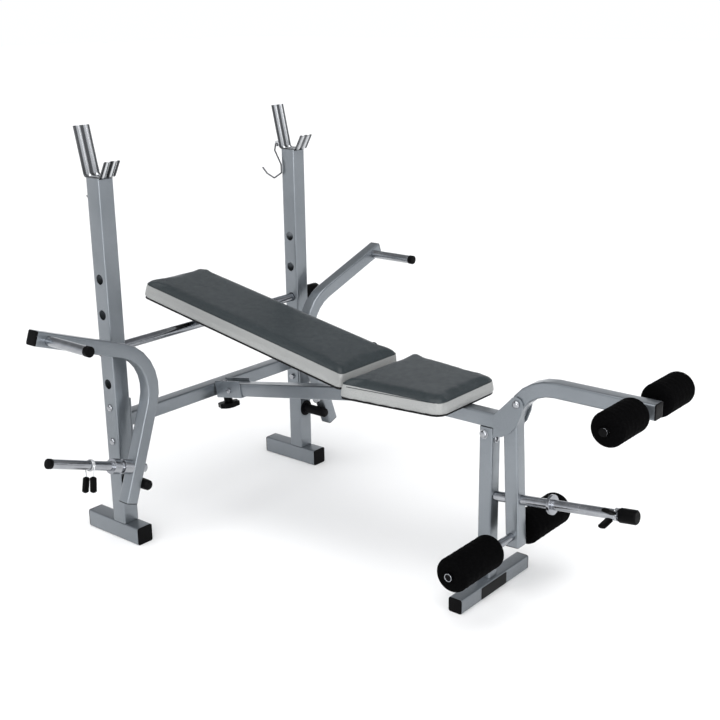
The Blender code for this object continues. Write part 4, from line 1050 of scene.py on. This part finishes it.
def make_bar_rests():
    """Each rest with its tall rear arm and short front arm, a dark sheet on its floor as painted
    shade, and its hook's eye.
    """
    for name, side in SIDES:
        low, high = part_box("bar_rest_" + name)
        outer = high.x if side > 0 else low.x
        inner = outer - side * REST_WIDTH
        x_low, x_high = min(inner, outer), max(inner, outer)
        floor_z = low.z + 0.0004
        # Down the tall rear arm, along the floor, and up the short front arm
        line = [
            Vector((0, high.y - 0.0010, high.z - 0.0006)),
            Vector((0, low.y + 0.0835, floor_z)),
            Vector((0, low.y + 0.0242, floor_z)),
            Vector((0, low.y + 0.0012, low.z + 0.0410)),
        ]
        route = rounded_route(line, REST_BEND)
        mesh = mesh_of(pressed_strip(route, x_low, x_high), name)
        rest = add_piece("bar_rest_%s_pressed" % name, mesh, RIBBED_ZINC, "frame")
        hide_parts("bar_rest_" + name)
        ear(name, inner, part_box("bar_hook_" + name)[1].z - EYE_DROP)
        # A dark sheet on the floor: painted shade in the cradle's bottom
        shade_sheet(name, x_low + SHADE_SHEET_MARGIN, x_high - SHADE_SHEET_MARGIN, route)


def ear(name, inner, pivot_z):
    """The small eye that the hook hangs in."""
    pivot = Vector((inner, JOINTS["hook_%s_swing" % name]["pos_m"][1], pivot_z))
    here = frame_at(pivot, X_AXIS, Y_AXIS)
    half = EYE_HALF_THICKNESS
    stations = ((EYE_RADIUS, -half), (EYE_RADIUS, half), (EYE_HOLE_RADIUS, half))
    stations += ((EYE_HOLE_RADIUS, -half), (EYE_RADIUS, -half))
    shape = loft([ring(here, radius, along, 28) for radius, along in stations], closed=False)
    bmesh.ops.remove_doubles(shape, verts=shape.verts, dist=SAME_POINT)
    add_piece("hook_eye_" + name, mesh_of(shape, name), ZINC, "frame")


def shade_sheet(name, x_low, x_high, route):
    """A dark sheet on a bar rest's floor, thin at both ends, that paints the shade in the cradle's
    bottom.
    """
    flat = [(place, way) for place, way in route if abs(way.z) < 0.35]
    (start, start_way), (end, end_way) = flat[0], flat[-1]
    lift = REST_SHEET + SHADE_SHEET_LIFT
    thin, thick = 0.0003, 0.0012
    rows = []
    for share, way, depth in (
        (0.0, start_way, thin),
        (0.08, start_way, thick),
        (0.92, end_way, thick),
        (1.0, end_way, thin),
    ):
        place = start.lerp(end, share)
        inward = -way.cross(X_AXIS).normalized()
        face = [Vector((x, place.y, place.z)) + inward * (lift + depth) for x in (x_low, x_high)]
        back = [Vector((x, place.y, place.z)) + inward * lift for x in (x_high, x_low)]
        rows.append(face + back)
    mesh = mesh_of(loft(rows), name)
    add_piece("bar_rest_liner_" + name, mesh, GRIP_AND_SHADE_BLACK, "frame")


# Stage


def make_floor():
    """A plain floor that runs out of sight."""
    mesh = bpy.data.meshes.new("floor")
    size = 40.0
    corners = [(-size, -size, 0), (size, -size, 0), (size, size, 0), (-size, size, 0)]
    mesh.from_pydata(corners, [], [(0, 1, 2, 3)])
    floor = bpy.data.objects.new("floor", mesh)
    mesh.materials.append(floor_paint())
    bpy.context.scene.collection.objects.link(floor)


def make_world():
    """A studio that is bright near the horizon and darker overhead."""
    world = bpy.data.worlds.new("studio")
    world.use_nodes = True
    tree = world.node_tree
    background = tree.nodes["Background"]
    background.inputs["Color"].default_value = (0.95, 0.97, 1.0, 1)
    direction = tree.nodes.new("ShaderNodeTexCoord").outputs["Generated"]
    split = tree.nodes.new("ShaderNodeSeparateXYZ")
    tree.links.new(direction, split.inputs[0])
    glow = tree.nodes.new("ShaderNodeMapRange")
    glow.interpolation_type = "SMOOTHSTEP"
    tree.links.new(split.outputs["Z"], glow.inputs["Value"])
    glow.inputs["From Min"].default_value = 0.06
    glow.inputs["From Max"].default_value = 0.62
    glow.inputs["To Min"].default_value = 1.05
    glow.inputs["To Max"].default_value = 0.30
    tree.links.new(glow.outputs["Result"], background.inputs["Strength"])
    bpy.context.scene.world = world
    bpy.context.scene.view_settings.view_transform = "Standard"


def add_light(name, kind, place, size, power):
    """A light at place, aimed at the bench's middle. A sun's size is its angle in degrees."""
    light = bpy.data.lights.new(name, kind)
    light.energy = power
    if kind == "SUN":
        light.angle = math.radians(size)
    else:
        light.size = size
    lamp = bpy.data.objects.new(name, light)
    lamp.location = place
    lamp.rotation_euler = (Vector((0, 0, 0.5)) - place).to_track_quat("-Z", "Y").to_euler()
    bpy.context.scene.collection.objects.link(lamp)


def make_lights():
    """A wide overhead light, and two soft boxes at the foot end."""
    add_light("overhead", "SUN", Vector((-0.9, -0.5, 3.0)), 75, 2.9)
    add_light("left_box", "AREA", Vector((-2.3, -1.7, 0.9)), 0.9, 26.0)
    add_light("front_box", "AREA", Vector((-0.6, -3.4, 1.5)), 1.2, 26.0)


def make_camera():
    """The camera at the reference view, rolled slightly."""
    data = bpy.data.cameras.new("camera")
    data.lens = LENS
    data.sensor_width = SENSOR
    camera = bpy.data.objects.new("camera", data)
    bpy.context.scene.collection.objects.link(camera)
    back = -CAMERA_LOOK.normalized()
    right = Z_AXIS.cross(back).normalized()
    up = back.cross(right)
    turn = Matrix((right, up, back)).transposed().to_4x4()
    roll = Matrix.Rotation(-CAMERA_ROLL, 4, "Z")
    camera.matrix_world = Matrix.Translation(CAMERA_PLACE) @ turn @ roll
    bpy.context.scene.camera = camera


for startup in ("Cube", "Light", "Camera"):
    if startup in bpy.data.objects:
        bpy.data.objects.remove(bpy.data.objects[startup])
make_camera()
make_floor()
make_world()
make_lights()
dress_nodes()
make_pads()
make_rollers()
make_roller_plugs()
make_tube_ends()
make_bar_caps()
make_post_bolts()
make_label()
make_clips()
make_bar_rests()
